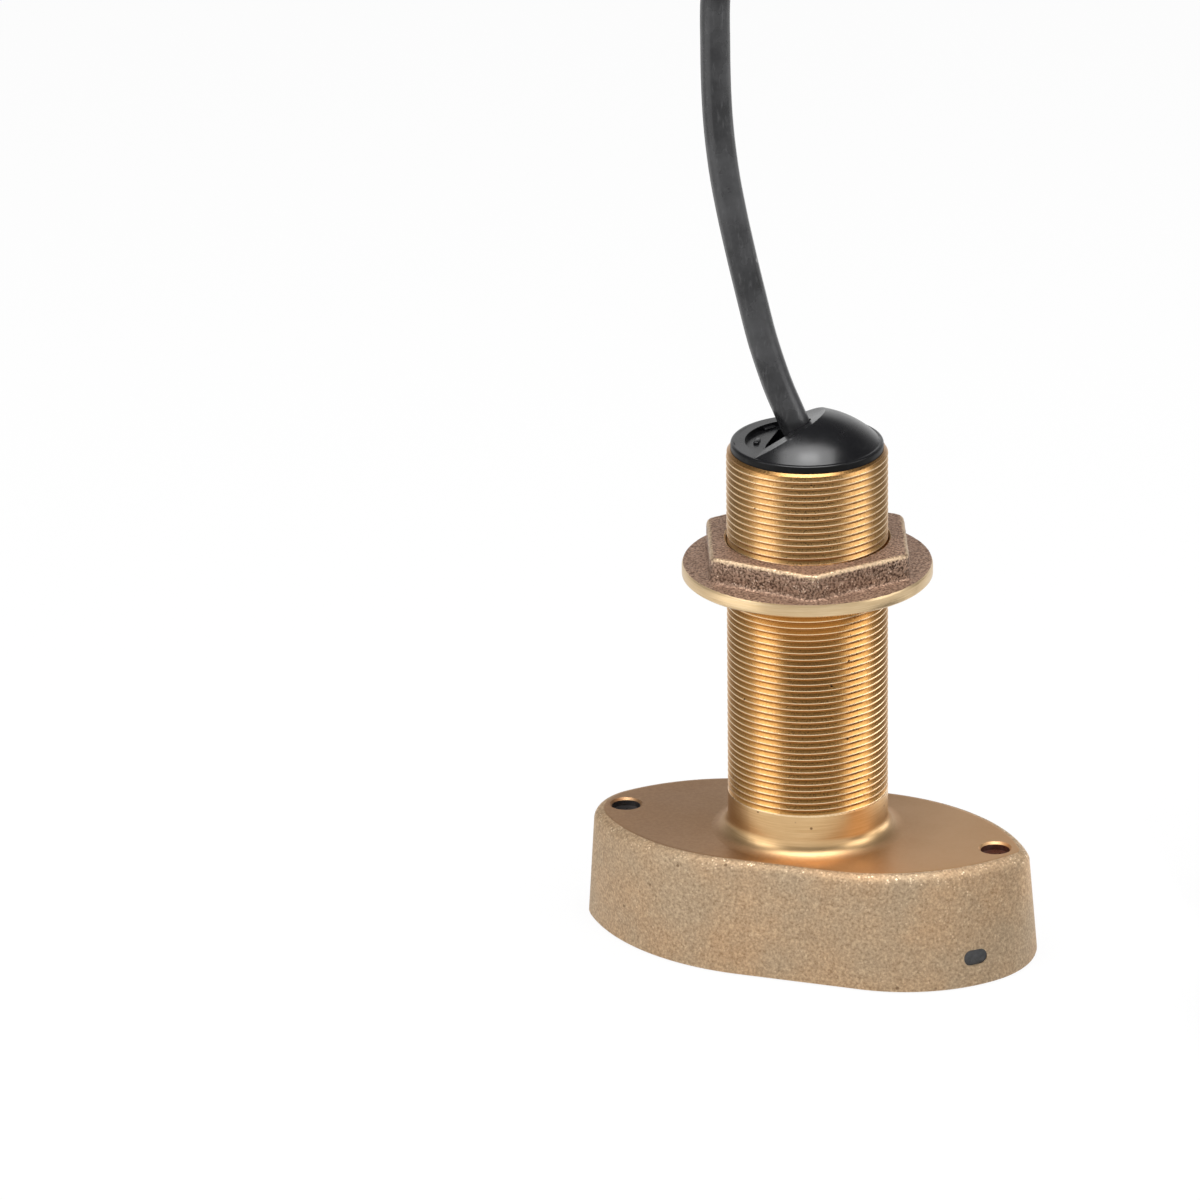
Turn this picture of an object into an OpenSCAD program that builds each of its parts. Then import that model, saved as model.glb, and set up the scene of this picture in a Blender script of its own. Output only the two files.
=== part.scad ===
// Through-hull sonar transducer: bronze housing and stem, hull nut, cable cap, inner parts, cable.
// Millimetres, +Z up. The stem's axis is Z, the face that looks into the water is at z = 0,
// and +X points to the blunt end of the housing.

/* [Housing] */
// Height of the housing, from its face to the hull seat
housing_h = 37; // [34:0.5:42]
// Half the width of the housing at its face
half_w = 39.2; // [38:0.1:42]
// Radius of the long flank towards the slim end, at the face
aft_flank_r = 72.5; // [68:0.5:85]
// Where that flank leaves the straight side, back from the stem
aft_flank_back = 11; // [8:0.5:14]
// Radius of the slim nose at the face
aft_nose_r = 13.5; // [12:0.5:17]
// Radius of the flank towards the blunt end, at the face
fore_flank_r = 48; // [46:0.5:54]
// Where that flank leaves the straight side, ahead of the stem
fore_flank_ahead = 29.5; // [27:0.5:32]
// Radius of the blunt nose at the face
fore_nose_r = 33; // [28:0.5:35]
// Half the width of the housing at the hull seat, before its edge is rounded
top_half_w = 36; // [35.5:0.1:37]
// Radius of the flank towards the slim end, at the hull seat
top_aft_flank_r = 63; // [60:0.5:66]
// Where that flank leaves the straight side, back from the stem
top_aft_flank_back = 17; // [15:0.5:19]
// Radius of the slim nose at the hull seat
top_aft_nose_r = 20; // [17:0.5:23]
// Radius of the flank towards the blunt end, at the hull seat
top_fore_flank_r = 64; // [61:0.5:67]
// Where that flank leaves the straight side, ahead of the stem
top_fore_flank_ahead = 16; // [14:0.5:18]
// Radius of the blunt nose at the hull seat
top_fore_nose_r = 6; // [5:0.25:9]
// Round of the cast edge above the sides
edge_r = 3.5; // [2.5:0.25:4.5]
// Least wall round the hollow of the housing
wall = 4; // [3.5:0.1:4.2]
// Roof over the hollow
roof = 6; // [5:0.25:8]
// Diameter of the two filler ports
port_d = 9.2; // [7:0.1:10]
// Casting left between the slim tip and its filler port
aft_port_edge = 7.6; // [7.5:0.05:9]
// Casting left between the blunt tip and its filler port
fore_port_edge = 8.05; // [7.5:0.05:10]

/* [Stem] */
// Major diameter of the stem's thread
stem_d = 50.8; // [48:0.1:54]
// Height of the stem's end above the face
stem_top = 165; // [150:1:180]
// Diameter of the stem's bore
bore_d = 40; // [39:0.1:42]
// Round at the foot of the stem
foot_r = 5.5; // [3:0.25:6]
// Chamfer at the end of the stem
stem_chamfer = 1; // [0.5:0.1:1.4]
// Height of the plain neck between the housing and the thread
neck_h = 13.8; // [11:0.2:18]
// Depth of the thread's grooves
thread_depth = 1.1; // [0.8:0.05:1.3]

/* [Hull nut] */
// Underside of the nut above the face
nut_z = 123; // [70:0.5:138]
// Diameter of the nut's flange
flange_d = 79; // [76:0.5:84]
// Thickness of the flange
flange_t = 4.2; // [3:0.1:6]
// Hexagon across its flats
hex_af = 62.5; // [60:0.5:68]
// Height of the hexagon above the flange
hex_h = 8.2; // [6:0.1:14]
// Turn of the hexagon about the stem, in degrees
hex_turn = -70; // [-90:1:-50]
// Bevel of the hexagon's top corners
hex_bevel = 2.5; // [1:0.1:3.5]
// Round of the flange's rim
flange_round = 0.9; // [0.3:0.1:1.4]
// Radial room between the nut and the stem
nut_clear = 0.3; // [0.2:0.05:0.5]

/* [Cable cap] */
// Diameter of the cap's rim
cap_d = 48; // [46.5:0.1:48]
// Height of the rim above the stem
cap_rim_h = 2.4; // [2.2:0.1:3.5]
// Height of the dome's crown above the stem
cap_h = 11.7; // [10.5:0.1:13]
// Radius of the dome
dome_r = 32.5; // [31:0.5:36]
// Slope of the cut that the cable leaves by, in degrees
cut_slope = 30; // [27:1:33]
// Foot of that cut, back from the stem's axis
cut_foot = 10.5; // [9.5:0.25:11.5]
// Lean of the cable where it leaves, in degrees
exit_lean = 25; // [23:1:27]
// Length of the cap's spigot in the bore
spigot_l = 9; // [8:0.5:12]
// Depth of the shallow pocket in the low side of the cap
pocket_depth = 1.5; // [1:0.1:1.7]
// Width of that pocket
pocket_w = 27; // [22:0.5:29]
// Depth of the slot at the foot of the cut, below the pocket
slot_sink = 1.4; // [0.5:0.1:2]
// Radial room between the spigot and the bore
spigot_clear = 0.2; // [0.1:0.05:0.3]

/* [Inside] */
// Thickness of the acoustic window
window_t = 5; // [4:0.25:6]
// Diameter of the piezo disc
disc_d = 52; // [44:1:53]
// Thickness of the piezo disc
disc_t = 12; // [8:0.5:13]
// Thickness of the isolator cup
cup_t = 4; // [3:0.25:4.5]
// Radial room round the disc in its cup
disc_clear = 0.1; // [0.05:0.05:0.3]
// Height of the potting's top above the face
potting_top = 70; // [66:1:90]
// Depth of the potting below the hull seat in the filler ports
port_depth = 2.5; // [1.5:0.1:4]
// Height of the temperature sensor above the face
sensor_z = 9; // [8.5:0.25:11]
// Place of the temperature sensor round the blunt flank, in degrees
sensor_turn = 44; // [42:0.5:46]
// Length of the sensor's slot along the wall
slot_l = 8.2; // [7:0.1:10]
// Height of the sensor's slot
slot_h = 5; // [4:0.1:6]

/* [Cable] */
// Diameter of the cable
cable_d = 9.5; // [9:0.1:9.5]
// Tracks of the hank side by side
hank_tracks = 4; // [4:1:4]
// Layers of the hank
hank_layers = 6; // [6:1:7]
// Straight stretch of the hank's runs
hank_straight = 57; // [50:1:60]
// Radius of the innermost fold of the hank
hank_fold_r = 28.5; // [28.5:0.5:30]
// Thickness of the hank's ties
tie_t = 1.2; // [1:0.1:1.4]
// Width of the hank's ties
tie_w = 7.6; // [4:0.1:9]

/* [Connector] */
// Outside diameter of the coupling ring
ring_d = 23; // [22:0.5:24]
// Length of the coupling ring
ring_l = 22; // [20:0.5:24]
// Diameter of the shell under the ring
shell_d = 18; // [17.5:0.1:18.4]
// Length of the shell's collar behind the ring
collar_l = 12; // [9:0.5:16]
// Length of the boot behind the shell
boot_l = 30; // [26:1:36]
// Radial running room of the ring on the shell
ring_clear = 0.08; // [0.05:0.01:0.1]
// Contacts on the connector's circle
contacts = 6; // [4:1:7]

/* [Hidden] */
$fn = 72;
eps = 0.02;
// How far a cut runs past what it cuts
past = 1;

bronze = [0.72, 0.53, 0.27];
black = [0.08, 0.08, 0.09];
grey = [0.25, 0.25, 0.26];

// Route of the cable from its foot in the potting to the hank, chosen by hand
route = [
    [6, 0, 58], [6, 0, 76], [6, 0, 96], [6, 0, 116], [5.8, 0, 134], [4.4, 0, 149],
    [1.6, 0, 160.5], [-3.5, 0, 171.4], [-7, 0, 179], [-10, 0, 186], [-14.4, 0, 199],
    [-18, 0, 213], [-21.4, 0, 227], [-24.5, 0, 241], [-27, 0, 255], [-28.8, 0, 272],
    [-29.4, 0, 293], [-28.8, 0.3, 315], [-23.5, 2.4, 338.5], [-7.4, 9.6, 359],
    [16.5, 20.3, 372.5], [44.7, 33, 377], [73, 45.5, 372.5], [97, 56.2, 359],
    [113, 63.5, 338.5], [118.5, 66.2, 315], [119, 66.5, 288], [119, 66.5, 260],
    [119, 66.5, 232], [119, 66.5, 204], [119, 66.5, 176], [119, 66.5, 148], [119, 66.5, 120],
    [119, 66.5, 92], [119.2, 66.5, 66], [120.5, 66.5, 46], [125.5, 66.5, 28],
    [136, 66.5, 14], [151, 66.5, 6.5], [168, 66.5, 5], [186, 66.5, 5.4], [202, 66.5, 6],
    [216, 65.2, 6], [231, 61.7, 6], [245, 58.3, 6], [259, 57, 6]
];

// Values of the housing's outline at its face and at the hull seat, in the order of the sliders
foot_form = [half_w, aft_flank_r, aft_flank_back, aft_nose_r, fore_flank_r, fore_flank_ahead, fore_nose_r];
top_form = [top_half_w, top_aft_flank_r, top_aft_flank_back, top_aft_nose_r,
            top_fore_flank_r, top_fore_flank_ahead, top_fore_nose_r];

// Centres of an outline's rounds, on the near side
function aft_flank_at(form) = [-form[2], form[1] - form[0]];
function fore_flank_at(form) = [form[5], form[4] - form[0]];
function aft_nose_x(form) = -form[2] - sqrt(pow(form[1] - form[3], 2) - pow(form[1] - form[0], 2));
function fore_nose_x(form) = form[5] + sqrt(pow(form[4] - form[6], 2) - pow(form[4] - form[0], 2));
function aft_turn(form) = atan2(form[1] - form[0], aft_nose_x(form) + form[2]);
function fore_turn(form) = atan2(form[4] - form[0], fore_nose_x(form) - form[5]);
aft_port_x = aft_nose_x(foot_form) - aft_nose_r + aft_port_edge + port_d / 2;
fore_port_x = fore_nose_x(foot_form) + fore_nose_r - fore_port_edge - port_d / 2;
nose_steps = 7;
flank_steps = 12;

// Thread: 24 turns to a stem's diameter, from the neck to the chamfer
thread_pitch = stem_d / 24;
thread_turns = floor((stem_top - stem_chamfer - housing_h - neck_h) / thread_pitch);

// Hollow and inner places
hollow_h = housing_h - roof;
face_bevel = 0.8;
port_bevel = 0.8;
cup_top = window_t + disc_t + cup_t;
lead_z = cup_top + 4;
lead_r = 0.8;
cable_r = cable_d / 2;
cable_x = route[0][0];
cable_foot = route[0][2];
signal_at = [cable_x + 1.6, 1.5];
ground_at = [cable_x - 1.6, 1.5];
sense_at = [cable_x, -2];
rim_wrap_x = 3 - disc_d / 2;

// Sensor slot: its axis leaves the blunt flank's centre at the face, at sensor_turn
sensor_from = fore_flank_at(foot_form);
sensor_way = [cos(sensor_turn), -sin(sensor_turn)];
function sensor_reach(form, in) =
    let (d = sensor_from - fore_flank_at(form), along = d * sensor_way)
    sqrt(pow(along, 2) - d * d + pow(form[4] - in, 2)) - along;
slot_sunk = 0.4;
slot_out = sensor_reach(foot_form, 0) - slot_sunk
    - (sensor_reach(foot_form, 0) - sensor_reach(top_form, 0)) * sensor_z / housing_h;
slot_in = sensor_reach(top_form, wall);
// Room behind the sensor's window, because the potting meets the slot at a slant
window_room = 0.5;
bead_l = 6;

// Cap
rim_top = stem_top + cap_rim_h;
dome_z = stem_top + cap_h - dome_r;
exit_x = -3.5;
exit_z = rim_top + (exit_x + cut_foot) * tan(cut_slope);
grommet_r = cable_r + 1.45;
grommet_l = 6;
grommet_sunk = 9.5;
spigot_r = bore_d / 2 - spigot_clear;
spigot_in_r = spigot_r - 4.5;
o_ring_r = 0.9;
groove_z = stem_top - spigot_l / 2;
pocket_r = cap_d / 2 - 4.5;
slot_floor = rim_top - pocket_depth - slot_sink;
rim_round = 0.8;
rim_ledge = 0.9;

// Hank: its straight stretch starts at hank_x, its middle line is y = 0
hank_x = 202;
hank_out_r = hank_fold_r + (hank_tracks - 0.5) * cable_d;
hank_in_r = hank_fold_r - cable_d / 2;
hank_top = tie_t + hank_layers * cable_d;
track_mid = (hank_out_r + hank_in_r) / 2;
tie_reach = hank_out_r + hank_top;

// Connector: its axis lies along +X over the hank's far run
plug_x = hank_x + 4;
plug_y = track_mid;
plug_z = hank_top + ring_d / 2 + 0.3;
shell_r = shell_d / 2;
shell_x = plug_x + boot_l - 4;
ring_x = shell_x + collar_l;
ring_gap = 0.3;
stop_l = 2;
boot_over = 6;
boot_r = shell_r - 1.2;
bearing_l = ring_l * 0.4;
collar_r = shell_r + 1.2;
insert_r = shell_r - 2;
nose_x = ring_x + ring_l;

// Points of an arc about a centre
function arc(c, r, from, to, steps) =
    [for (i = [0 : steps]) let (a = from + (to - from) * i / steps) c + r * [cos(a), sin(a)]];

function without_last(list) = [for (i = [0 : len(list) - 2]) list[i]];

function mirrored(list) = [for (i = [len(list) - 2 : -1 : 1]) [list[i][0], -list[i][1]]];

// Near half of an outline from the slim tip to the blunt one, drawn in by a distance
function half_outline(form, in) = concat(
    without_last(arc([aft_nose_x(form), 0], form[3] - in, -180, -aft_turn(form), nose_steps)),
    arc(aft_flank_at(form), form[1] - in, -aft_turn(form), -90, flank_steps),
    without_last(arc(fore_flank_at(form), form[4] - in, -90, -fore_turn(form), flank_steps)),
    arc([fore_nose_x(form), 0], form[6] - in, -fore_turn(form), 0, nose_steps));

function outline(form, in) = let (half = half_outline(form, in)) concat(half, mirrored(half));

// The outline at a height: it goes over from the face's form to the hull seat's
function outline_at(z, in) =
    let (t = z / housing_h, low = outline(foot_form, in), high = outline(top_form, in))
    [for (i = [0 : len(low) - 1]) low[i] * (1 - t) + high[i] * t];

// Levels of the cast body, each a height and how far its outline is drawn in
edge_z = housing_h - edge_r;
edge_steps = 5;
levels = concat(
    [[0, face_bevel], [face_bevel, 0]],
    [for (i = [0 : edge_steps]) let (a = 90 * i / edge_steps)
        [edge_z + edge_r * sin(a), edge_r * (1 - cos(a))]]);

// A closed solid through rings of points that all have the same count
module skin(rings) {
    n = len(rings[0]);
    last = len(rings) - 1;
    polyhedron(
        points = [for (r = rings, p = r) p],
        faces = concat(
            [[for (i = [0 : n - 1]) i]],
            [for (k = [0 : last - 1], i = [0 : n - 1])
                [k * n + i, (k + 1) * n + i, (k + 1) * n + (i + 1) % n, k * n + (i + 1) % n]],
            [[for (i = [n - 1 : -1 : 0]) last * n + i]]));
}

module cast_body() {
    skin([for (l = levels) [for (p = outline_at(l[0], l[1])) [p[0], p[1], l[0]]]]);
}

// A straight-sided prism of the outline at the hull seat, which lies inside all others
module outline_prism(in, z0, z1) {
    translate([0, 0, z0]) linear_extrude(z1 - z0) polygon(outline(top_form, in));
}

module at_ports() {
    for (x = [aft_port_x, fore_port_x]) translate([x, 0, 0]) children();
}

// A frame whose X axis runs out through the sensor's slot
module at_sensor() {
    translate([sensor_from[0], sensor_from[1], sensor_z]) rotate([0, 0, -sensor_turn]) children();
}

// A bar along X with the slot's section, from one distance to another
module slot_bar(from, to) {
    flat = slot_l - slot_h;
    for (s = [-1, 1]) translate([from, s * flat / 2, 0])
        rotate([0, 90, 0]) cylinder(h = to - from, d = slot_h);
    translate([from, -flat / 2, -slot_h / 2]) cube([to - from, flat, slot_h]);
}

// A ring at the foot of a cylinder that blends it into the plane below
module foot_fillet(r, round) {
    rotate_extrude() polygon(concat(
        [[r - 1, -1], [r + round, -1]],
        [for (i = [0 : 8]) let (a = 270 - 90 * i / 8)
            [r + round + round * cos(a), round + round * sin(a)]],
        [[r - 1, round]]));
}

// The stem, with a groove for each turn of its thread
module threaded_stem() {
    r = stem_d / 2;
    groove = [[0, 0], [thread_depth, 0.36], [0, 0.72]];
    rotate_extrude() polygon(concat(
        [[0, hollow_h + past], [r, hollow_h + past]],
        [for (i = [0 : thread_turns - 1], g = groove)
            [r - g[0], housing_h + neck_h + (i + g[1]) * thread_pitch]],
        [[r, stem_top - stem_chamfer], [r - stem_chamfer, stem_top], [0, stem_top]]));
}

module housing() {
    color(bronze) difference() {
        union() {
            cast_body();
            threaded_stem();
            translate([0, 0, housing_h]) foot_fillet(stem_d / 2, foot_r);
        }
        outline_prism(wall, -past, hollow_h);
        translate([0, 0, hollow_h - past])
            cylinder(h = stem_top - hollow_h + 2 * past, d = bore_d);
        at_ports() {
            translate([0, 0, hollow_h - past]) cylinder(h = roof + 2 * past, d = port_d);
            translate([0, 0, housing_h - port_bevel + eps])
                cylinder(h = port_bevel, d1 = port_d, d2 = port_d + 2 * port_bevel);
        }
        at_sensor() slot_bar(slot_in - bead_l, fore_flank_r + past);
    }
}

module hull_nut() {
    round = flange_round;
    hex_r = hex_af / 2 / cos(30);
    top = flange_t + hex_h;
    bore_r = stem_d / 2 + nut_clear;
    mouth_bevel = 1;
    color(bronze) translate([0, 0, nut_z]) difference() {
        union() {
            rotate_extrude() polygon(concat(
                [[0, 0], [flange_d / 2 - round, 0]],
                arc([flange_d / 2 - round, round], round, 270, 360, 4),
                arc([flange_d / 2 - round, flange_t - round], round, 0, 90, 4),
                [[0, flange_t]]));
            intersection() {
                translate([0, 0, flange_t - past])
                    rotate([0, 0, hex_turn]) cylinder(h = hex_h + past, r = hex_r, $fn = 6);
                rotate_extrude() polygon([
                    [0, 0], [hex_r + past, 0], [hex_r + past, top - hex_bevel - past],
                    [hex_r - hex_bevel, top], [0, top]]);
            }
        }
        translate([0, 0, -past]) cylinder(h = top + 2 * past, r = bore_r);
        translate([0, 0, top - mouth_bevel + eps])
            cylinder(h = mouth_bevel, r1 = bore_r, r2 = bore_r + mouth_bevel);
    }
}

// A frame at the cable's exit whose Z axis runs out along the cable
module at_exit() {
    translate([exit_x, 0, exit_z]) rotate([0, -exit_lean, 0]) children();
}

// Everything above the cap's slanted cut
module over_cut() {
    translate([-cut_foot, -cap_d, rim_top]) rotate([0, -cut_slope, 0]) cube([2 * cap_d, 2 * cap_d, cap_d]);
}

module cap_pocket(from, to, x0, x1) {
    intersection() {
        translate([0, 0, from]) cylinder(h = to - from, r = pocket_r);
        translate([x0, -pocket_w / 2, from - past]) cube([x1 - x0, pocket_w, to - from + 2 * past]);
    }
}

// Two low bars on the pocket's floor
module pocket_marks() {
    bar = [1.4, 3.6, 0.7];
    for (y = [9, -4]) translate([-cut_foot - 6.5, y - bar[1] / 2, rim_top - pocket_depth - past])
        cube([bar[0], bar[1], bar[2] + past]);
}

module cable_cap() {
    rim_r = cap_d / 2;
    color(black) difference() {
        union() {
            translate([0, 0, stem_top]) rotate_extrude() polygon(concat(
                [[0, 0], [rim_r, 0]],
                arc([rim_r - rim_round, cap_rim_h - rim_round], rim_round, 0, 90, 4),
                [[0, cap_rim_h]]));
            difference() {
                intersection() {
                    translate([0, 0, dome_z]) sphere(r = dome_r);
                    translate([0, 0, rim_top - past]) cylinder(h = cap_h, r = rim_r - rim_ledge);
                    translate([-cut_foot, -cap_d, rim_top - past]) cube([2 * cap_d, 2 * cap_d, cap_h]);
                }
                over_cut();
            }
            translate([0, 0, stem_top - spigot_l]) cylinder(h = spigot_l + eps, r = spigot_r);
        }
        translate([0, 0, stem_top - spigot_l - past])
            cylinder(h = spigot_l - past, r = spigot_in_r);
        difference() {
            cap_pocket(rim_top - pocket_depth, rim_top + 4, -pocket_r, -cut_foot + 2);
            pocket_marks();
        }
        cap_pocket(slot_floor, rim_top + 4, -cut_foot - 2.4, -cut_foot + 2.4);
        at_exit() translate([0, 0, -cap_d / 2]) cylinder(h = cap_d, r = grommet_r);
        translate([0, 0, groove_z - o_ring_r]) difference() {
            cylinder(h = 2 * o_ring_r, r = spigot_r + 1);
            translate([0, 0, -1]) cylinder(h = 2 * o_ring_r + 2, r = bore_d / 2 - 2 * o_ring_r);
        }
    }
}

module cable_grommet() {
    color(black) at_exit() translate([0, 0, -grommet_sunk]) difference() {
        cylinder(h = grommet_l, r = grommet_r);
        translate([0, 0, -past]) cylinder(h = grommet_l + 2 * past, r = cable_r);
    }
}

module cap_o_ring() {
    color(black) translate([0, 0, groove_z]) rotate_extrude()
        translate([bore_d / 2 - o_ring_r, 0]) circle(r = o_ring_r, $fn = 24);
}

module acoustic_window() {
    color(black) outline_prism(wall, 0, window_t);
}

module piezo_disc() {
    color([0.82, 0.78, 0.68]) translate([0, 0, window_t]) cylinder(h = disc_t, d = disc_d);
}

module isolator_cup() {
    color([0.45, 0.33, 0.22]) difference() {
        translate([0, 0, window_t]) cylinder(h = disc_t + cup_t, d = disc_d + 2 * cup_t);
        translate([0, 0, window_t - past]) cylinder(h = disc_t + past, d = disc_d + 2 * disc_clear);
        for (at = [signal_at, [rim_wrap_x, 0]]) translate([at[0], at[1], window_t])
            cylinder(h = cup_top, r = lead_r);
    }
}

// A wire of straight runs with a ball at each corner
module wire(points) {
    for (i = [0 : len(points) - 2]) {
        run = points[i + 1] - points[i];
        translate(points[i]) rotate([0, acos(run[2] / norm(run)), atan2(run[1], run[0])])
            cylinder(h = norm(run), r = lead_r, $fn = 24);
        if (i > 0) translate(points[i]) sphere(r = lead_r * 1.1, $fn = 24);
    }
}

module signal_lead() {
    at = signal_at;
    color([0.8, 0.1, 0.1]) wire([[at[0], at[1], window_t + disc_t], [at[0], at[1], cable_foot]]);
}

module ground_lead() {
    at = ground_at;
    color([0.75, 0.75, 0.75]) wire([
        [rim_wrap_x, 0, window_t + disc_t], [rim_wrap_x, 0, lead_z],
        [at[0], at[1], lead_z], [at[0], at[1], cable_foot]]);
}

// A point on the sensor's axis, at a distance from the blunt flank's centre
function sensor_point(out, z) = concat(sensor_from + out * sensor_way, [z]);

module thermistor() {
    color([0.15, 0.15, 0.2]) at_sensor() translate([slot_in - bead_l, 0, 0])
        rotate([0, 90, 0]) cylinder(h = bead_l, r = 1.8);
}

module thermistor_lead() {
    at = sense_at;
    bead_end = slot_in - bead_l;
    color([0.5, 0.3, 0.15]) wire([
        sensor_point(bead_end, sensor_z), sensor_point(bead_end - 3, sensor_z),
        sensor_point(bead_end - 3, lead_z), [at[0], at[1], lead_z], [at[0], at[1], cable_foot]]);
}

module sensor_window() {
    color(black) at_sensor() slot_bar(slot_in + window_room, slot_out);
}

// Potting that fills the housing, the foot of the stem and the filler ports
module potting() {
    color(grey) difference() {
        union() {
            outline_prism(wall, window_t, hollow_h);
            translate([0, 0, hollow_h - past]) cylinder(h = potting_top - hollow_h + past, d = bore_d);
            at_ports() translate([0, 0, hollow_h - past])
                cylinder(h = roof + past - port_depth, d = port_d);
        }
        translate([0, 0, window_t - past]) cylinder(h = disc_t + cup_t + past, d = disc_d + 2 * cup_t);
        translate([cable_x, 0, cable_foot]) cylinder(h = stem_top, r = cable_r);
        signal_lead();
        ground_lead();
        thermistor();
        thermistor_lead();
    }
}

// Rings of a round tube along points, standing square to the way they run
function way(p, i) =
    let (d = p[min(i + 1, len(p) - 1)] - p[max(i - 1, 0)]) d / norm(d);
function tube_ring(at, t, r, sides) =
    let (u = cross([0, 1, 0], t), u1 = u / norm(u), v1 = cross(t, u1))
    [for (k = [0 : sides - 1]) let (a = -360 * k / sides) at + r * (cos(a) * u1 + sin(a) * v1)];

module tube(points, r, sides = 10) {
    skin([for (i = [0 : len(points) - 1]) tube_ring(points[i], way(points, i), r, sides)]);
}

module cable() {
    color(black) tube(route, cable_r);
}

// A slot-shaped outline about the hank's straight stretch
module hank_outline(r) {
    for (x = [hank_x, hank_x + hank_straight]) translate([x, 0]) circle(r = r);
    translate([hank_x, -r]) square([hank_straight, 2 * r]);
}

module cable_hank() {
    color(black) translate([0, 0, tie_t]) linear_extrude(hank_layers * cable_d) difference() {
        hank_outline(hank_out_r);
        hank_outline(hank_in_r);
    }
}

// The last stretch climbs out of the hank's top layer round its near end and runs into the boot
tail_steps = 12;
function tail_climb(t) = t * t * (3 - 2 * t);
tail_from = [hank_x, -(hank_out_r - cable_r), hank_top - cable_r];
tail_route = concat(
    [for (i = [0 : tail_steps]) let (
            t = i / tail_steps,
            a = 270 - 180 * t,
            r = hank_out_r - cable_r - (hank_out_r - cable_r - plug_y) * tail_climb(max(0, 2 * t - 1)))
        [hank_x + r * cos(a), r * sin(a),
         tail_from[2] + (plug_z - tail_from[2]) * tail_climb(t)]],
    [[plug_x + boot_l - boot_over, plug_y, plug_z]]);

function tail_ring(at, t, r, sides) =
    let (u = cross(t, [0, 0, 1]), u1 = u / norm(u), v1 = cross(t, u1))
    [for (k = [0 : sides - 1]) let (a = -360 * k / sides) at + r * (cos(a) * u1 + sin(a) * v1)];

module cable_tail() {
    color(black) skin([for (i = [0 : len(tail_route) - 1])
        tail_ring(tail_route[i], way(tail_route, i), cable_r, 10)]);
}

// A skin of the ties' thickness all round the hank
module tie_skin() {
    difference() {
        linear_extrude(hank_top + tie_t) difference() {
            hank_outline(hank_out_r + tie_t);
            hank_outline(hank_in_r - tie_t);
        }
        cable_hank();
    }
}

module hank_tie_side() {
    color(black) intersection() {
        tie_skin();
        translate([hank_x + (hank_straight - tie_w) / 2, -tie_reach, -past])
            cube([tie_w, tie_reach, tie_reach]);
    }
}

module hank_tie_end() {
    color(black) intersection() {
        tie_skin();
        translate([hank_x + hank_straight + past, -tie_w / 2, -past])
            cube([tie_reach, tie_w, tie_reach]);
    }
}

// A frame on the connector's axis whose Z axis runs out of its mouth
module on_plug(x) {
    translate([x, plug_y, plug_z]) rotate([0, 90, 0]) children();
}

module plug_boot() {
    color(black) on_plug(plug_x) difference() {
        union() {
            cylinder(h = boot_l - boot_over, r1 = cable_r + 1, r2 = boot_r);
            translate([0, 0, boot_l - boot_over - eps]) cylinder(h = 2 + eps, r = boot_r);
        }
        translate([0, 0, -1]) cylinder(h = boot_l + 2, r = cable_r);
    }
}

module plug_shell() {
    l = nose_x - shell_x;
    color(black) on_plug(shell_x) difference() {
        union() {
            cylinder(h = collar_l - ring_gap, r = collar_r);
            cylinder(h = collar_l + bearing_l + ring_gap, r = shell_r);
            translate([0, 0, collar_l + bearing_l + ring_gap]) cylinder(h = stop_l, r = collar_r);
            cylinder(h = l, r = shell_r - 0.5);
        }
        translate([0, 0, collar_l]) cylinder(h = l, r = insert_r);
        translate([0, 0, -past]) cylinder(h = collar_l + 2 * past, r = cable_r);
    }
}

// Ring that draws the plug into its socket, with grip flutes round its outside
module coupling_ring() {
    flutes = 18;
    color(grey) on_plug(ring_x) difference() {
        union() {
            cylinder(h = ring_l - 1, d = ring_d);
            translate([0, 0, ring_l - 1]) cylinder(h = 1, d1 = ring_d, d2 = ring_d - 1.6);
        }
        translate([0, 0, -1]) cylinder(h = ring_l + 2, r = shell_r + ring_clear);
        translate([0, 0, bearing_l]) cylinder(h = ring_l, r = collar_r + 0.35);
        for (i = [0 : flutes - 1]) rotate([0, 0, 360 * i / flutes])
            translate([ring_d / 2 + 0.5, 0, -1]) cylinder(h = ring_l * 0.6 + 1, r = 1, $fn = 16);
    }
}

module pin_places() {
    children();
    for (i = [0 : contacts - 1]) rotate([0, 0, 360 * i / contacts])
        translate([insert_r * 0.6, 0, 0]) children();
}

module plug_insert() {
    color([0.2, 0.2, 0.22]) on_plug(ring_x) difference() {
        cylinder(h = ring_l - 8, r = insert_r);
        pin_places() translate([0, 0, 2]) cylinder(h = ring_l, r = 0.8, $fn = 24);
    }
}

module contact_pins() {
    color([0.85, 0.7, 0.35]) on_plug(ring_x) pin_places()
        translate([0, 0, 2]) cylinder(h = ring_l - 4, r = 0.8, $fn = 24);
}

module face_seal() {
    color(black) on_plug(ring_x + bearing_l + ring_gap + stop_l) difference() {
        cylinder(h = 1.6, r = collar_r);
        translate([0, 0, -1]) cylinder(h = 4, r = shell_r - 0.5);
    }
}

housing();
hull_nut();
cable_cap();
cable_grommet();
cap_o_ring();
acoustic_window();
piezo_disc();
isolator_cup();
signal_lead();
ground_lead();
thermistor();
thermistor_lead();
sensor_window();
potting();
cable();
cable_hank();
cable_tail();
hank_tie_side();
hank_tie_end();
plug_boot();
plug_shell();
coupling_ring();
plug_insert();
contact_pins();
face_seal();
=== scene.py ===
"""The looks of a bronze through-hull sonar transducer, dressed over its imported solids.

Metres, +Z up the stem, +X to the blunt end of the housing, the water face at z = 0.
"""

from math import asin, atan2, cos, degrees, exp, hypot, pi, radians, sin, sqrt, tan, tau

import bpy
from mathutils import Matrix, Vector


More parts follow.
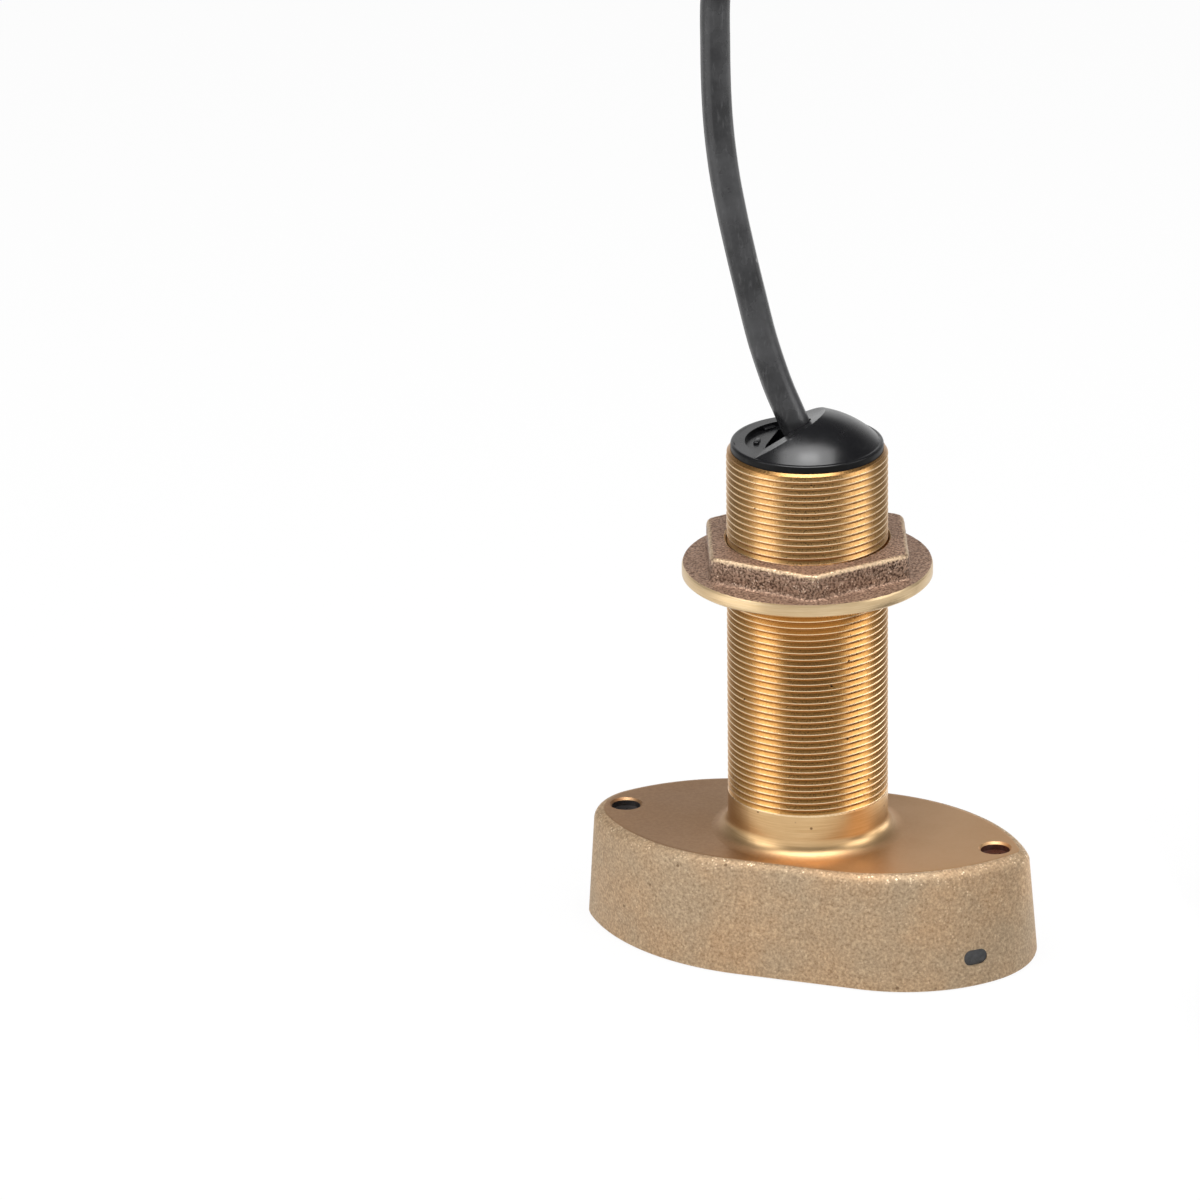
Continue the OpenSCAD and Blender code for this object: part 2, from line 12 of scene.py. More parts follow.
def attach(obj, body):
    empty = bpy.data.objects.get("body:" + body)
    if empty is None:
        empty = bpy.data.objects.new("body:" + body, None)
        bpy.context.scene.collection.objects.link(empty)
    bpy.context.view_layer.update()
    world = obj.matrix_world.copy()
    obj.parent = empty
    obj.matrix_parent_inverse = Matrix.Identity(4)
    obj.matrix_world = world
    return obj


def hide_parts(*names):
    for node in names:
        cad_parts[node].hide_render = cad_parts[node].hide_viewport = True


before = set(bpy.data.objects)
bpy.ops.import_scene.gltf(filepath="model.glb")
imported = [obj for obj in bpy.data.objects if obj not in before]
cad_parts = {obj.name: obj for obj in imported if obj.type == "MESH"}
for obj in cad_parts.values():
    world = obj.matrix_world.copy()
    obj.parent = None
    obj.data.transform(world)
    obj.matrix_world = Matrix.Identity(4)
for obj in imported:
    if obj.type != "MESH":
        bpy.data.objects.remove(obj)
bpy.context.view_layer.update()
MM = 0.001

# Housing: its outline at the water face and at the hull seat, and what is cut into it
FOOT_FORM = dict(half_w=39.2 * MM, aft_flank_r=72.5 * MM, aft_flank_x=-11 * MM, aft_nose_r=13.5 * MM,
                 fore_flank_r=48 * MM, fore_flank_x=29.5 * MM, fore_nose_r=33 * MM)
TOP_FORM = dict(half_w=36 * MM, aft_flank_r=63 * MM, aft_flank_x=-17 * MM, aft_nose_r=20 * MM,
                fore_flank_r=64 * MM, fore_flank_x=16 * MM, fore_nose_r=6 * MM)
HOUSING_H = 37 * MM
EDGE_R = 3.5 * MM
FACE_BEVEL = 0.8 * MM
WALL = 4 * MM
HOLLOW_H = 31 * MM
PORT_R = 4.6 * MM
PORT_BEVEL = 0.7 * MM
AFT_PORT_X = -61 * MM
FORE_PORT_X = 62 * MM
SLOT_L = 8.2 * MM
SLOT_H = 5 * MM
SLOT_Z = 9 * MM
SLOT_OUT = 46 * MM
SLOT_TURN = radians(-44)

# Stem and its thread
STEM_R = 25.4 * MM
STEM_TOP = 165 * MM
BORE_R = 20 * MM
FOOT_R = 5.5 * MM
PITCH = 25.4 / 12 * MM
THREAD_DEPTH = 0.65 * MM
THREAD_TURNS = 56
THREAD_LOW = 50.2 * MM
THREAD_HIGH = 48 * MM + THREAD_TURNS * PITCH
THREAD_STEPS = 112
CREST_BREAK = 0.03 * MM
CHAMFER_H = 2.2 * MM
CHAMFER_IN = 1.2 * MM

# Hull nut
NUT_Z = 123 * MM
FLANGE_R = 39.5 * MM
FLANGE_T = 4.2 * MM
HEX_AF = 62.5 * MM
HEX_H = 8.2 * MM
HEX_TURN = radians(-70)
NUT_BORE_R = 25.7 * MM
FLANGE_TOP = NUT_Z + FLANGE_T
HEX_TOP = FLANGE_TOP + HEX_H
HEX_CORNER_R = 2.4 * MM
HEX_EDGE_R = 1.1 * MM
CAST_GRID = 0.55 * MM
LUMP_SIZE = 1.6 * MM
LUMP_HEIGHT = 0.28 * MM
WEAR_REACH = 1.6 * MM
WEAR_DEPTH = 3 * MM

# Cable cap
CAP_R = 24 * MM
RIM_TOP = 167.4 * MM
RIM_ROUND = 0.8 * MM
DOME_R = 32.5 * MM
DOME_Z = 144.2 * MM
CUT_FOOT = -10.5 * MM
CUT_SLOPE = tan(radians(30))
POCKET_R = 19.5 * MM
POCKET_HALF = 15.4 * MM
POCKET_DEPTH = 1.5 * MM
SPIGOT_R = 19.8 * MM
SPIGOT_LOW = 156 * MM
SEAL_LOW = 159.6 * MM
SEAL_HIGH = 161.4 * MM
SEAL_DEPTH = 1.6 * MM
SLIT = [(-10.6, 11.6), (-4, 6.4), (-4, -6.4), (-10.6, -11.6), (-12.8, -10.5), (-12.2, 4)]
SLIT_DEPTH = 14 * MM
MARK_X = -15.7 * MM
MARK_YS = (10.3 * MM, -2.3 * MM)
MARK_SIZE = (1.8 * MM, 4.4 * MM, 1.8 * MM)
EXIT_LEAN = radians(25)
EXIT_ROOM = 0.5 * MM

# Cable, its hank and its connector
CABLE_R = 4.75 * MM
CABLE_D = 2 * CABLE_R
HANK_X = 202 * MM
HANK_STRAIGHT = 57 * MM
HANK_TRACKS = [57 * MM, 47.5 * MM, 38 * MM, 28.5 * MM]
HANK_MID = (HANK_TRACKS[0] + HANK_TRACKS[-1]) / 2
HANK_LAYERS = 6
HANK_LOW = 5.95 * MM
TIE_T = 1.2 * MM
TIE_W = 7.6 * MM
TIE_WIDE = 40.4 * MM
TIE_HIGH = 59.4 * MM
TIE_Z = 29.7 * MM
SIDE_TIE_X = 230.5 * MM
PLUG_Y = 42.75 * MM
PLUG_Z = 70 * MM
PLUG_X = 206 * MM
BOOT_L = 26 * MM
BOOT_HEAD_R = 7.8 * MM
BOOT_RIBS = 5
EXIT = (-3.5 * MM, 0, 171.4 * MM)

# The cable's route from inside the cap to the hank, in millimetres
ROUTE = [
    (4.4, 0, 149), (1.6, 0, 160.5), (-3.5, 0, 171.4), (-7, 0, 179), (-10, 0, 186), (-14.4, 0, 199),
    (-18, 0, 213), (-21.4, 0, 227), (-24.5, 0, 241), (-27, 0, 255), (-28.8, 0, 272),
    (-29.4, 0, 293), (-28.8, 0.3, 315), (-23.5, 2.4, 338.5), (-7.4, 9.6, 359),
    (16.5, 20.3, 372.5), (44.7, 33, 377), (73, 45.5, 372.5), (97, 56.2, 359),
    (113, 63.5, 338.5), (118.5, 66.2, 315), (119, 66.5, 288), (119, 66.5, 260),
    (119, 66.5, 232), (119, 66.5, 204), (119, 66.5, 176), (119, 66.5, 148), (119, 66.5, 120),
    (119, 66.5, 92), (119.2, 66.5, 66), (120.5, 66.5, 46), (125.5, 66.5, 28),
    (136, 66.5, 14), (151, 66.5, 6.5), (168, 66.5, 5), (186, 66.5, 5.4), (202, 66.5, 6),
    (216, 65.2, 6), (231, 61.7, 6), (245, 58.3, 6), (259, 57, 6),
]

# Camera and studio
CAMERA_AT = (0.84584, -2.65705, 1.19651)
CAMERA_AZIMUTH = radians(19.0)
CAMERA_ELEVATION = radians(21.212)
CAMERA_ROLL = radians(-0.63)
CAMERA_LENS = 285
SENSOR = 36
FLOOR_SIZE = 12
FLOOR_Z = -0.2 * MM
FLOOR_GLOW = 0.92
SKY_RING = [(0.04, 0.95), (0.10, 0.36), (0.24, 0.24), (0.40, 0.38), (0.55, 0.80)]
SKY_RISE = (0.36, 0.58)
SKY_TOP = 0.12
LAMP_AIM = (0, 0, 0.09)

# Lamps: name, direction as right, near and up, distance, size and power
LAMPS = [
    ("key_left", (-0.80, 0.36, 0.48), 1.5, (0.8, 0.7), 4.0),
    ("key_right", (0.90, 0.22, 0.42), 1.5, (0.95, 0.7), 4.6),
    ("overhead", (0, 0.16, 0.985), 1.6, (1.5, 0.9), 27),
    ("overhead_core", (0.02, 0.18, 0.98), 1.55, (0.5, 0.36), 3.6),
    ("left_card", (-0.90, 0.40, -0.10), 0.6, (0.5, 0.25), 0.4),
    ("right_card", (0.95, -0.15, -0.40), 0.15, (0.17, 0.05), 0.06),
]


def smoothstep(t):
    t = min(1.0, max(0.0, t))
    return t * t * (3 - 2 * t)


# Node helpers

def add(tree, kind, inputs=None, **settings):
    """A new node with its settings, and with its inputs linked to sockets or set to values."""
    node = tree.nodes.new("ShaderNode" + kind)
    for name, value in settings.items():
        setattr(node, name, value)
    for name, value in (inputs or {}).items():
        if isinstance(value, bpy.types.NodeSocket):
            tree.links.new(value, node.inputs[name])
        else:
            node.inputs[name].default_value = value
    return node


def noise(tree, where, scale, detail=3.0, roughness=0.6):
    return add(tree, "TexNoise", {"Vector": where, "Scale": scale, "Detail": detail,
                                  "Roughness": roughness}).outputs["Fac"]


def spread(tree, value, low, high, to_low=0.0, to_high=1.0):
    return add(tree, "MapRange", {"Value": value, "From Min": low, "From Max": high, "To Min": to_low,
                                  "To Max": to_high}).outputs["Result"]


def sums(tree, operation, first, second):
    return add(tree, "Math", {0: first, 1: second}, operation=operation).outputs[0]


def times(tree, first, second):
    return sums(tree, "MULTIPLY", first, second)


def component(tree, vector, axis):
    return add(tree, "SeparateXYZ", {0: vector}).outputs[axis]


def blend(tree, share, first, second):
    """A colour between two others."""
    return add(tree, "Mix", {0: share, 6: first, 7: second}, data_type="RGBA").outputs[2]


def stretched(tree, where, scale):
    return add(tree, "Mapping", {"Vector": where, "Scale": scale}).outputs["Vector"]


def object_place(tree):
    return add(tree, "TexCoord").outputs["Object"]


def rgb(red, green, blue):
    return (red, green, blue, 1)


# Camera, floor, lamps and background

def make_camera():
    data = bpy.data.cameras.new("camera")
    data.lens = CAMERA_LENS
    data.sensor_width = SENSOR
    data.clip_end = 20
    camera = bpy.data.objects.new("camera", data)
    bpy.context.scene.collection.objects.link(camera)
    turn = Matrix.Rotation(CAMERA_AZIMUTH, 4, "Z")
    tilt = Matrix.Rotation(pi / 2 - CAMERA_ELEVATION, 4, "X")
    roll = Matrix.Rotation(CAMERA_ROLL, 4, "Z")
    camera.matrix_world = Matrix.Translation(CAMERA_AT) @ turn @ tilt @ roll
    bpy.context.scene.camera = camera


def toward_camera(right, near, up):
    """A direction given as right, towards the camera and up, turned into the part's frame."""
    right_way = Vector((cos(CAMERA_AZIMUTH), sin(CAMERA_AZIMUTH), 0))
    near_way = Vector((sin(CAMERA_AZIMUTH), -cos(CAMERA_AZIMUTH), 0))
    return right_way * right + near_way * near + Vector((0, 0, up))


def softbox(name, way, distance, size, power):
    data = bpy.data.lights.new(name, "AREA")
    data.shape = "RECTANGLE"
    data.size, data.size_y = size
    data.energy = power
    lamp = bpy.data.objects.new(name, data)
    bpy.context.scene.collection.objects.link(lamp)
    lamp.location = Vector(LAMP_AIM) + way.normalized() * distance
    lamp.rotation_euler = way.to_track_quat("Z", "Y").to_euler()
    lamp.visible_camera = False


def seen_directly(tree):
    """1 for camera, glossy and transmission rays, which see the floor as pale, and 0 for the rest."""
    rays = add(tree, "LightPath").outputs
    straight = sums(tree, "MAXIMUM", rays["Is Camera Ray"], rays["Is Transmission Ray"])
    return sums(tree, "MAXIMUM", straight, rays["Is Glossy Ray"])


def make_floor():
    floor = new_object(bpy.ops.mesh.primitive_plane_add, size=FLOOR_SIZE, location=(0, 0, FLOOR_Z))
    floor.name = "floor"
    material = bpy.data.materials.new("floor_white")
    material.use_nodes = True
    tree = material.node_tree
    tree.nodes.clear()
    paper = add(tree, "BsdfDiffuse", {"Color": rgb(0.86, 0.86, 0.86)}).outputs[0]
    glow = add(tree, "Emission", {"Color": rgb(1, 1, 1)}).outputs[0]
    share = times(tree, seen_directly(tree), FLOOR_GLOW)
    mix = add(tree, "MixShader", {0: share, 1: paper, 2: glow}).outputs[0]
    add(tree, "OutputMaterial", {"Surface": mix})
    floor.data.materials.append(material)


def make_world():
    """White to the camera; to the part a bright horizon in front, dim beside and behind, and a dark top."""
    world = bpy.data.worlds.new("studio")
    bpy.context.scene.world = world
    world.use_nodes = True
    tree = world.node_tree
    tree.nodes.clear()
    way = add(tree, "TexCoord").outputs["Generated"]
    near = add(tree, "VectorMath", {0: way, 1: toward_camera(0, 1, 0)}, operation="DOT_PRODUCT")
    ring = add(tree, "ValToRGB", {"Fac": spread(tree, near.outputs["Value"], -1, 1)})
    stops = ring.color_ramp.elements
    stops[0].color = rgb(1, 1, 1)
    stops[1].color = rgb(0.90, 0.90, 0.90)
    for where, level in SKY_RING:
        stops.new(where).color = rgb(level, level, level)
    low, high = SKY_RISE
    rise = add(tree, "MapRange", {"Value": component(tree, way, "Z"), "From Min": low, "From Max": high},
               interpolation_type="SMOOTHSTEP")
    sky = add(tree, "Mix", {0: rise.outputs[0], 2: ring.outputs["Color"], 3: SKY_TOP}).outputs[0]
    seen = add(tree, "LightPath").outputs["Is Camera Ray"]
    level = sums(tree, "MAXIMUM", sky, seen)
    shine = add(tree, "Background", {"Color": rgb(1, 1, 1), "Strength": level}).outputs[0]
    add(tree, "OutputWorld", {"Surface": shine})


def make_studio():
    make_camera()
    make_floor()
    make_world()
    for name, way, distance, size, power in LAMPS:
        softbox(name, toward_camera(*way), distance, size, power)
    bpy.context.scene.view_settings.view_transform = "Standard"


# Modelling helpers

def new_object(primitive, **settings):
    """A new mesh object from one of the operators for primitives."""
    bpy.ops.object.select_all(action="DESELECT")
    primitive(**settings)
    return bpy.context.object


def pick(obj):
    """Leaves edit mode and selects obj alone."""
    object_mode()
    bpy.ops.object.select_all(action="DESELECT")
    obj.select_set(True)
    bpy.context.view_layer.objects.active = obj


def object_mode():
    if bpy.context.object and bpy.context.object.mode == "EDIT":
        bpy.ops.object.mode_set(mode="OBJECT")


def edit_chosen(obj, kind, chosen):
    """Edits obj with only those vertices, edges or faces selected that chosen is true for."""
    pick(obj)
    mesh = obj.data
    bpy.context.tool_settings.mesh_select_mode = (kind == "VERT", kind == "EDGE", kind == "FACE")
    for group in (mesh.vertices, mesh.edges, mesh.polygons):
        group.foreach_set("select", [False] * len(group))
    parts = {"VERT": mesh.vertices, "EDGE": mesh.edges, "FACE": mesh.polygons}[kind]
    parts.foreach_set("select", [bool(chosen(part)) for part in parts])
    bpy.ops.object.mode_set(mode="EDIT")


def edit_all(obj):
    edit_chosen(obj, "FACE", lambda face: True)
    bpy.ops.mesh.select_all(action="SELECT")


def edit_edges(obj, test):
    """Edits obj with only those edges selected whose pair of end points passes a test."""
    object_mode()
    vertices = obj.data.vertices
    edit_chosen(obj, "EDGE", lambda edge: test([vertices[i].co for i in edge.vertices]))


def edit_open_edge(obj, low, high):
    """Edits obj with only those open edges selected that lie between two heights."""
    uses = {}
    for face in obj.data.polygons:
        for key in face.edge_keys:
            uses[key] = uses.get(key, 0) + 1
    vertices = obj.data.vertices
    edit_chosen(obj, "EDGE", lambda edge: uses.get(edge.key, 0) == 1
                and all(low <= vertices[i].co.z <= high for i in edge.vertices))


def tidy_mesh(obj, merge=1e-6):
    """Merges doubles and turns all faces outwards."""
    edit_all(obj)
    bpy.ops.mesh.remove_doubles(threshold=merge)
    bpy.ops.mesh.normals_make_consistent(inside=False)
    object_mode()


def apply_modifier(obj, kind, **settings):
    pick(obj)
    modifier = obj.modifiers.new(kind.lower(), kind)
    for name, value in settings.items():
        setattr(modifier, name, value)
    bpy.ops.object.modifier_apply(modifier=modifier.name)


def carve(obj, tool, operation="DIFFERENCE"):
    """Cuts the tool out of obj, or adds or intersects it, and removes the tool."""
    apply_modifier(obj, "BOOLEAN", operation=operation, object=tool, solver="EXACT")
    bpy.data.objects.remove(tool)


def place(obj, move=(0, 0, 0), turn=(0, 0, 0)):
    pick(obj)
    obj.location = move
    obj.rotation_euler = turn
    bpy.ops.object.transform_apply(location=True, rotation=True)
    return obj


def extrude(x, y, z):
    bpy.ops.mesh.extrude_region()
    bpy.ops.transform.translate(value=(x, y, z))


def draw_line(points):
    """A line through (x, z) points in the XZ plane, drawn by extruding one vertex."""
    line = new_object(bpy.ops.mesh.primitive_plane_add, size=1)
    bpy.context.tool_settings.mesh_select_mode = (True, False, False)
    bpy.ops.object.mode_set(mode="EDIT")
    bpy.ops.mesh.select_all(action="SELECT")
    bpy.ops.mesh.merge(type="CENTER")
    bpy.ops.transform.translate(value=(points[0][0], 0, points[0][1]))
    for (x0, z0), (x1, z1) in zip(points, points[1:]):
        extrude(x1 - x0, 0, z1 - z0)
    object_mode()
    return line


def turn_on_lathe(points, sides=96):
    """A solid of revolution about Z: its line through (radius, z) points closes or ends on the axis."""
    piece = draw_line(points)
    apply_modifier(piece, "SCREW", axis="Z", angle=tau, screw_offset=0, iterations=1, steps=sides,
                   render_steps=sides, use_merge_vertices=True, merge_threshold=1e-6,
                   use_smooth_shade=True)
    tidy_mesh(piece)
    return piece


def push_out(points, depth):
    """A prism: the outline through (x, z) points in the XZ plane, depth wide along Y about y = 0."""
    piece = draw_line(points + points[:1])
    edit_all(piece)
    bpy.ops.mesh.edge_face_add()
    bpy.ops.transform.translate(value=(0, -depth / 2, 0))
    extrude(0, depth, 0)
    tidy_mesh(piece)
    return piece


def arc_points(centre, radius, start, end, steps):
    """Points on an arc between two angles in degrees, both ends included."""
    points = []
    for i in range(steps + 1):
        angle = radians(start + (end - start) * i / steps)
        points.append((centre[0] + radius * cos(angle), centre[1] + radius * sin(angle)))
    return points


def shade(obj, angle=35):
    pick(obj)
    bpy.ops.object.shade_smooth_by_angle(angle=radians(angle))


def dress(piece, name, body, slot, materials, *nodes):
    """Names a finished piece, gives it its materials, puts it under its body and hides the solids it stands
    for.
    """
    piece.name = name
    piece.data.name = name
    for material in materials:
        piece.data.materials.append(material)
    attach(piece, body)
    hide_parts(*nodes)


def paint(piece, kind):
    """Gives each face the material whose number kind gives for the face's centre."""
    for face in piece.data.polygons:
        face.material_index = kind(face.center)


# Node groups for effects that materials share

def new_group(name, outputs):
    """An empty node group that takes a place and a scale."""
    group = bpy.data.node_groups.new(name, "ShaderNodeTree")
    group.interface.new_socket("Place", in_out="INPUT", socket_type="NodeSocketVector")
    group.interface.new_socket("Scale", in_out="INPUT", socket_type="NodeSocketFloat")
    for label in outputs:
        group.interface.new_socket(label, in_out="OUTPUT", socket_type="NodeSocketFloat")
    enter = group.nodes.new("NodeGroupInput")
    leave = group.nodes.new("NodeGroupOutput")
    return group, enter.outputs["Place"], enter.outputs["Scale"], leave


def use(tree, group, where, scale):
    node = add(tree, "Group", node_tree=group)
    tree.links.new(where, node.inputs["Place"])
    node.inputs["Scale"].default_value = scale
    return node.outputs


def make_sand_grain():
    """The skin of a sand casting: close grain, and sparse spots for painted glints where a facet would
    shine.
    """
    group, where, scale, leave = new_group("sand_grain_and_painted_glint", ["Grain", "Painted_glint"])
    fine = noise(group, where, scale)
    cells = add(group, "TexVoronoi", {"Vector": where, "Scale": times(group, scale, 0.9)})
    sparse = noise(group, where, times(group, scale, 0.35), 2.0, 0.5)
    # Sparse spots where a painted glint goes
    bright = times(group, spread(group, cells.outputs["Distance"], 0.42, 0.16),
                  spread(group, sparse, 0.5, 0.66))
    group.links.new(fine, leave.inputs["Grain"])
    group.links.new(bright, leave.inputs["Painted_glint"])
    return group


def make_stains():
    """Broad soft patches of tarnish."""
    group, where, scale, leave = new_group("stains", ["Patch"])
    wide = noise(group, where, scale, 4.0, 0.55)
    group.links.new(spread(group, wide, 0.36, 0.64), leave.inputs["Patch"])
    return group


def make_pits():
    """Small round pits, far apart."""
    group, where, scale, leave = new_group("pits", ["Pit"])
    cells = add(group, "TexVoronoi", {"Vector": where, "Scale": scale})
    few = spread(group, add(group, "SeparateColor", {0: cells.outputs["Color"]}).outputs[0], 0.80, 0.82)
    pit = times(group, spread(group, cells.outputs["Distance"], 0.13, 0.07), few)
    group.links.new(pit, leave.inputs["Pit"])
    return group


def make_turning_lines():
    """Fine lines round the Z axis, as a lathe tool leaves them."""
    group, where, scale, leave = new_group("turning_lines", ["Line"])
    flat = stretched(group, where, (0.03, 0.03, 1.0))
    group.links.new(noise(group, flat, scale), leave.inputs["Line"])
    return group


sand_grain_and_painted_glint = make_sand_grain()
stains = make_stains()
pits = make_pits()
turning_lines = make_turning_lines()


# Materials

def new_material(name, **values):
    """A material with these plain values on its shader, and its tree and place to work on."""
    material = bpy.data.materials.new(name)
    material.use_nodes = True
    tree = material.node_tree
    shader = tree.nodes["Principled BSDF"]
    for label, value in values.items():
        shader.inputs[label.replace("_", " ")].default_value = value
    return material, tree, object_place(tree)


def finish(material, colour, roughness=None, height=None, distance=0.0, strength=1.0):
    """Links a colour, a roughness and a bump height to the material's shader."""
    tree = material.node_tree
    shader = tree.nodes["Principled BSDF"]
    tree.links.new(colour, shader.inputs["Base Color"])
    if roughness is not None:
        tree.links.new(roughness, shader.inputs["Roughness"])
    if height is not None:
        bump = add(tree, "Bump", {"Height": height, "Distance": distance, "Strength": strength})
        tree.links.new(bump.outputs["Normal"], shader.inputs["Normal"])
    return material


def axis_radius(tree, where):
    """Distance from the stem's axis."""
    flat = add(tree, "VectorMath", {0: where, 1: (1, 1, 0)}, operation="MULTIPLY")
    return add(tree, "VectorMath", {0: flat.outputs["Vector"]}, operation="LENGTH").outputs["Value"]


def make_blasted_bronze():
    """The sand-cast sides: pale and grainy, greener in patches, with painted glints that are strongest on
    the rounded edge.
    """
    material, tree, where = new_material("blasted_bronze", Metallic=0.75)
    skin = use(tree, sand_grain_and_painted_glint, where, 1150)
    patch = use(tree, stains, where, 42)["Patch"]
    grain = spread(tree, skin["Grain"], 0.30, 0.70)
    warm = blend(tree, grain, rgb(0.33, 0.207, 0.112), rgb(0.64, 0.450, 0.274))
    cool = blend(tree, grain, rgb(0.29, 0.213, 0.135), rgb(0.56, 0.438, 0.297))
    tone = blend(tree, times(tree, patch, 0.75), warm, cool)
    slope = component(tree, add(tree, "NewGeometry").outputs["Normal"], "Z")
    rounded = times(tree, spread(tree, slope, 0.12, 0.45), spread(tree, slope, 1.0, 0.93))
    # Painted glints: pale colour on the grain's spots, strongest on the rounded top edge
    shine = times(tree, skin["Painted_glint"], spread(tree, rounded, 0.0, 1.0, 0.25, 1.0))
    colour = blend(tree, shine, tone, rgb(0.95, 0.76, 0.53))
    hole = use(tree, pits, where, 190)["Pit"]
    colour = blend(tree, times(tree, hole, 0.7), colour, rgb(0.16, 0.09, 0.045))
    roughness = spread(tree, shine, 0.0, 1.0, 0.62, 0.35)
    height = sums(tree, "SUBTRACT", skin["Grain"], hole)
    return finish(material, colour, roughness, height, 0.16 * MM, 0.8)


def faced_tone(tree, where):
    """Colour, roughness and fine relief of the machined hull seat: browner towards the pointed end."""
    patch = use(tree, stains, where, 30)["Patch"]
    along = component(tree, where, "X")
    base = blend(tree, spread(tree, along, -50 * MM, 45 * MM), rgb(0.40, 0.225, 0.115),
                 rgb(0.68, 0.41, 0.205))
    spotted = blend(tree, times(tree, patch, 0.3), base, rgb(0.50, 0.31, 0.165))
    fine = noise(tree, where, 900)
    colour = blend(tree, spread(tree, fine, 0.35, 0.65, 0.0, 0.2), spotted, rgb(0.70, 0.47, 0.26))
    return colour, spread(tree, patch, 0.0, 1.0, 0.42, 0.52), fine


def make_faced_bronze():
    """The machined hull seat: smooth satin."""
    material, tree, where = new_material("faced_bronze", Metallic=1.0)
    colour, roughness, fine = faced_tone(tree, where)
    return finish(material, colour, roughness, fine, 0.03 * MM, 0.5)


def make_turned_bronze():
    """The turned neck, which goes over into the hull seat along the fillet at its foot."""
    material, tree, where = new_material("turned_bronze", Metallic=1.0)
    line = use(tree, turning_lines, where, 2600)["Line"]
    patch = use(tree, stains, where, 70)["Patch"]
    bright = blend(tree, spread(tree, line, 0.3, 0.7), rgb(0.60, 0.375, 0.172), rgb(0.73, 0.50, 0.262))
    neck = blend(tree, times(tree, patch, 0.35), bright, rgb(0.52, 0.32, 0.145))
    seat = faced_tone(tree, where)[0]
    share = spread(tree, axis_radius(tree, where), STEM_R + 0.8 * MM, STEM_R + 3.4 * MM)
    colour = blend(tree, share, neck, seat)
    hole = use(tree, pits, where, 230)["Pit"]
    colour = blend(tree, times(tree, hole, 0.8), colour, rgb(0.14, 0.07, 0.03))
    return finish(material, colour, spread(tree, share, 0.0, 1.0, 0.34, 0.47), line, 0.02 * MM, 0.6)


def make_thread_bronze():
    """The thread: golden flanks, with painted light above the nut, painted shade in the browner roots and
    painted highlights on the bright crests, with pits.
    """
    material, tree, where = new_material("thread_bronze", Metallic=1.0)
    share = spread(tree, axis_radius(tree, where), STEM_R - THREAD_DEPTH, STEM_R - CREST_BREAK)
    patch = use(tree, stains, where, 60)["Patch"]
    fine = noise(tree, where, 1400)
    # Painted shade: the roots are coloured darker and browner than the flanks, by radius
    low = blend(tree, spread(tree, share, 0.0, 0.6), rgb(0.38, 0.178, 0.048), rgb(0.66, 0.345, 0.110))
    stained = blend(tree, times(tree, patch, 0.3), low, rgb(0.48, 0.235, 0.066))
    # Painted light: the thread is coloured paler above the nut
    painted_light_above_nut = spread(tree, component(tree, where, "Z"), NUT_Z, NUT_Z + 12 * MM, 0.0, 0.3)
    gold = blend(tree, painted_light_above_nut, stained, rgb(0.50, 0.345, 0.175))
    # Painted highlight: the crests are coloured bright
    crest = blend(tree, spread(tree, share, 0.82, 0.98), gold, rgb(0.88, 0.65, 0.39))
    colour = blend(tree, spread(tree, fine, 0.46, 0.74, 0.0, 0.26), crest, rgb(0.36, 0.172, 0.048))
    hole = use(tree, pits, where, 210)["Pit"]
    colour = blend(tree, times(tree, hole, 0.9), colour, rgb(0.05, 0.025, 0.012))
    roughness = spread(tree, fine, 0.3, 0.7, 0.24, 0.36)
    height = sums(tree, "SUBTRACT", times(tree, fine, 0.3), hole)
    return finish(material, colour, roughness, height, 0.1 * MM, 0.6)


def make_nut_casting():
    """The raw skin of the nut: brown and coarse, with painted glints, worn to metal along the hexagon's
    edges.
    """
    material, tree, where = new_material("nut_casting", Metallic=0.85)
    skin = use(tree, sand_grain_and_painted_glint, where, 1350)
    patch = use(tree, stains, where, 55)["Patch"]
    grain = spread(tree, skin["Grain"], 0.39, 0.61)
    slope = component(tree, add(tree, "NewGeometry").outputs["Normal"], "Z")
    upright = spread(tree, slope, 0.85, 0.3)
    calm = blend(tree, grain, rgb(0.16, 0.093, 0.060), rgb(0.58, 0.395, 0.285))
    coarse = blend(tree, grain, rgb(0.035, 0.017, 0.010), rgb(0.50, 0.340, 0.243))
    brown = blend(tree, upright, calm, coarse)
    rust = blend(tree, times(tree, patch, 0.35), brown, rgb(0.28, 0.175, 0.125))
    # Painted glints: pale colour on the grain's spots, stronger on the upright faces
    shine = times(tree, skin["Painted_glint"], spread(tree, upright, 0.0, 1.0, 0.35, 1.0))
    with_painted_glints = blend(tree, shine, rust, rgb(0.86, 0.67, 0.52))
    worn = add(tree, "Attribute", attribute_name="edge_wear", attribute_type="GEOMETRY").outputs["Fac"]
    edge = spread(tree, sums(tree, "ADD", worn, times(tree, skin["Grain"], 1.1)), 0.95, 1.5)
    colour = blend(tree, edge, with_painted_glints, rgb(0.72, 0.53, 0.34))
    roughness = spread(tree, sums(tree, "MAXIMUM", shine, edge), 0.0, 1.0, 0.58, 0.34)
    return finish(material, colour, roughness, skin["Grain"], 0.26 * MM, 0.9)


def make_nut_turned():
    """The nut's turned rim, seat and bore."""
    material, tree, where = new_material("nut_turned", Metallic=1.0)
    line = use(tree, turning_lines, where, 3000)["Line"]
    patch = use(tree, stains, where, 60)["Patch"]
    bright = blend(tree, spread(tree, line, 0.3, 0.7), rgb(0.60, 0.43, 0.235), rgb(0.78, 0.60, 0.37))
    colour = blend(tree, times(tree, patch, 0.3), bright, rgb(0.52, 0.36, 0.20))
    return finish(material, colour, spread(tree, line, 0.2, 0.8, 0.26, 0.38), line, 0.03 * MM, 0.6)


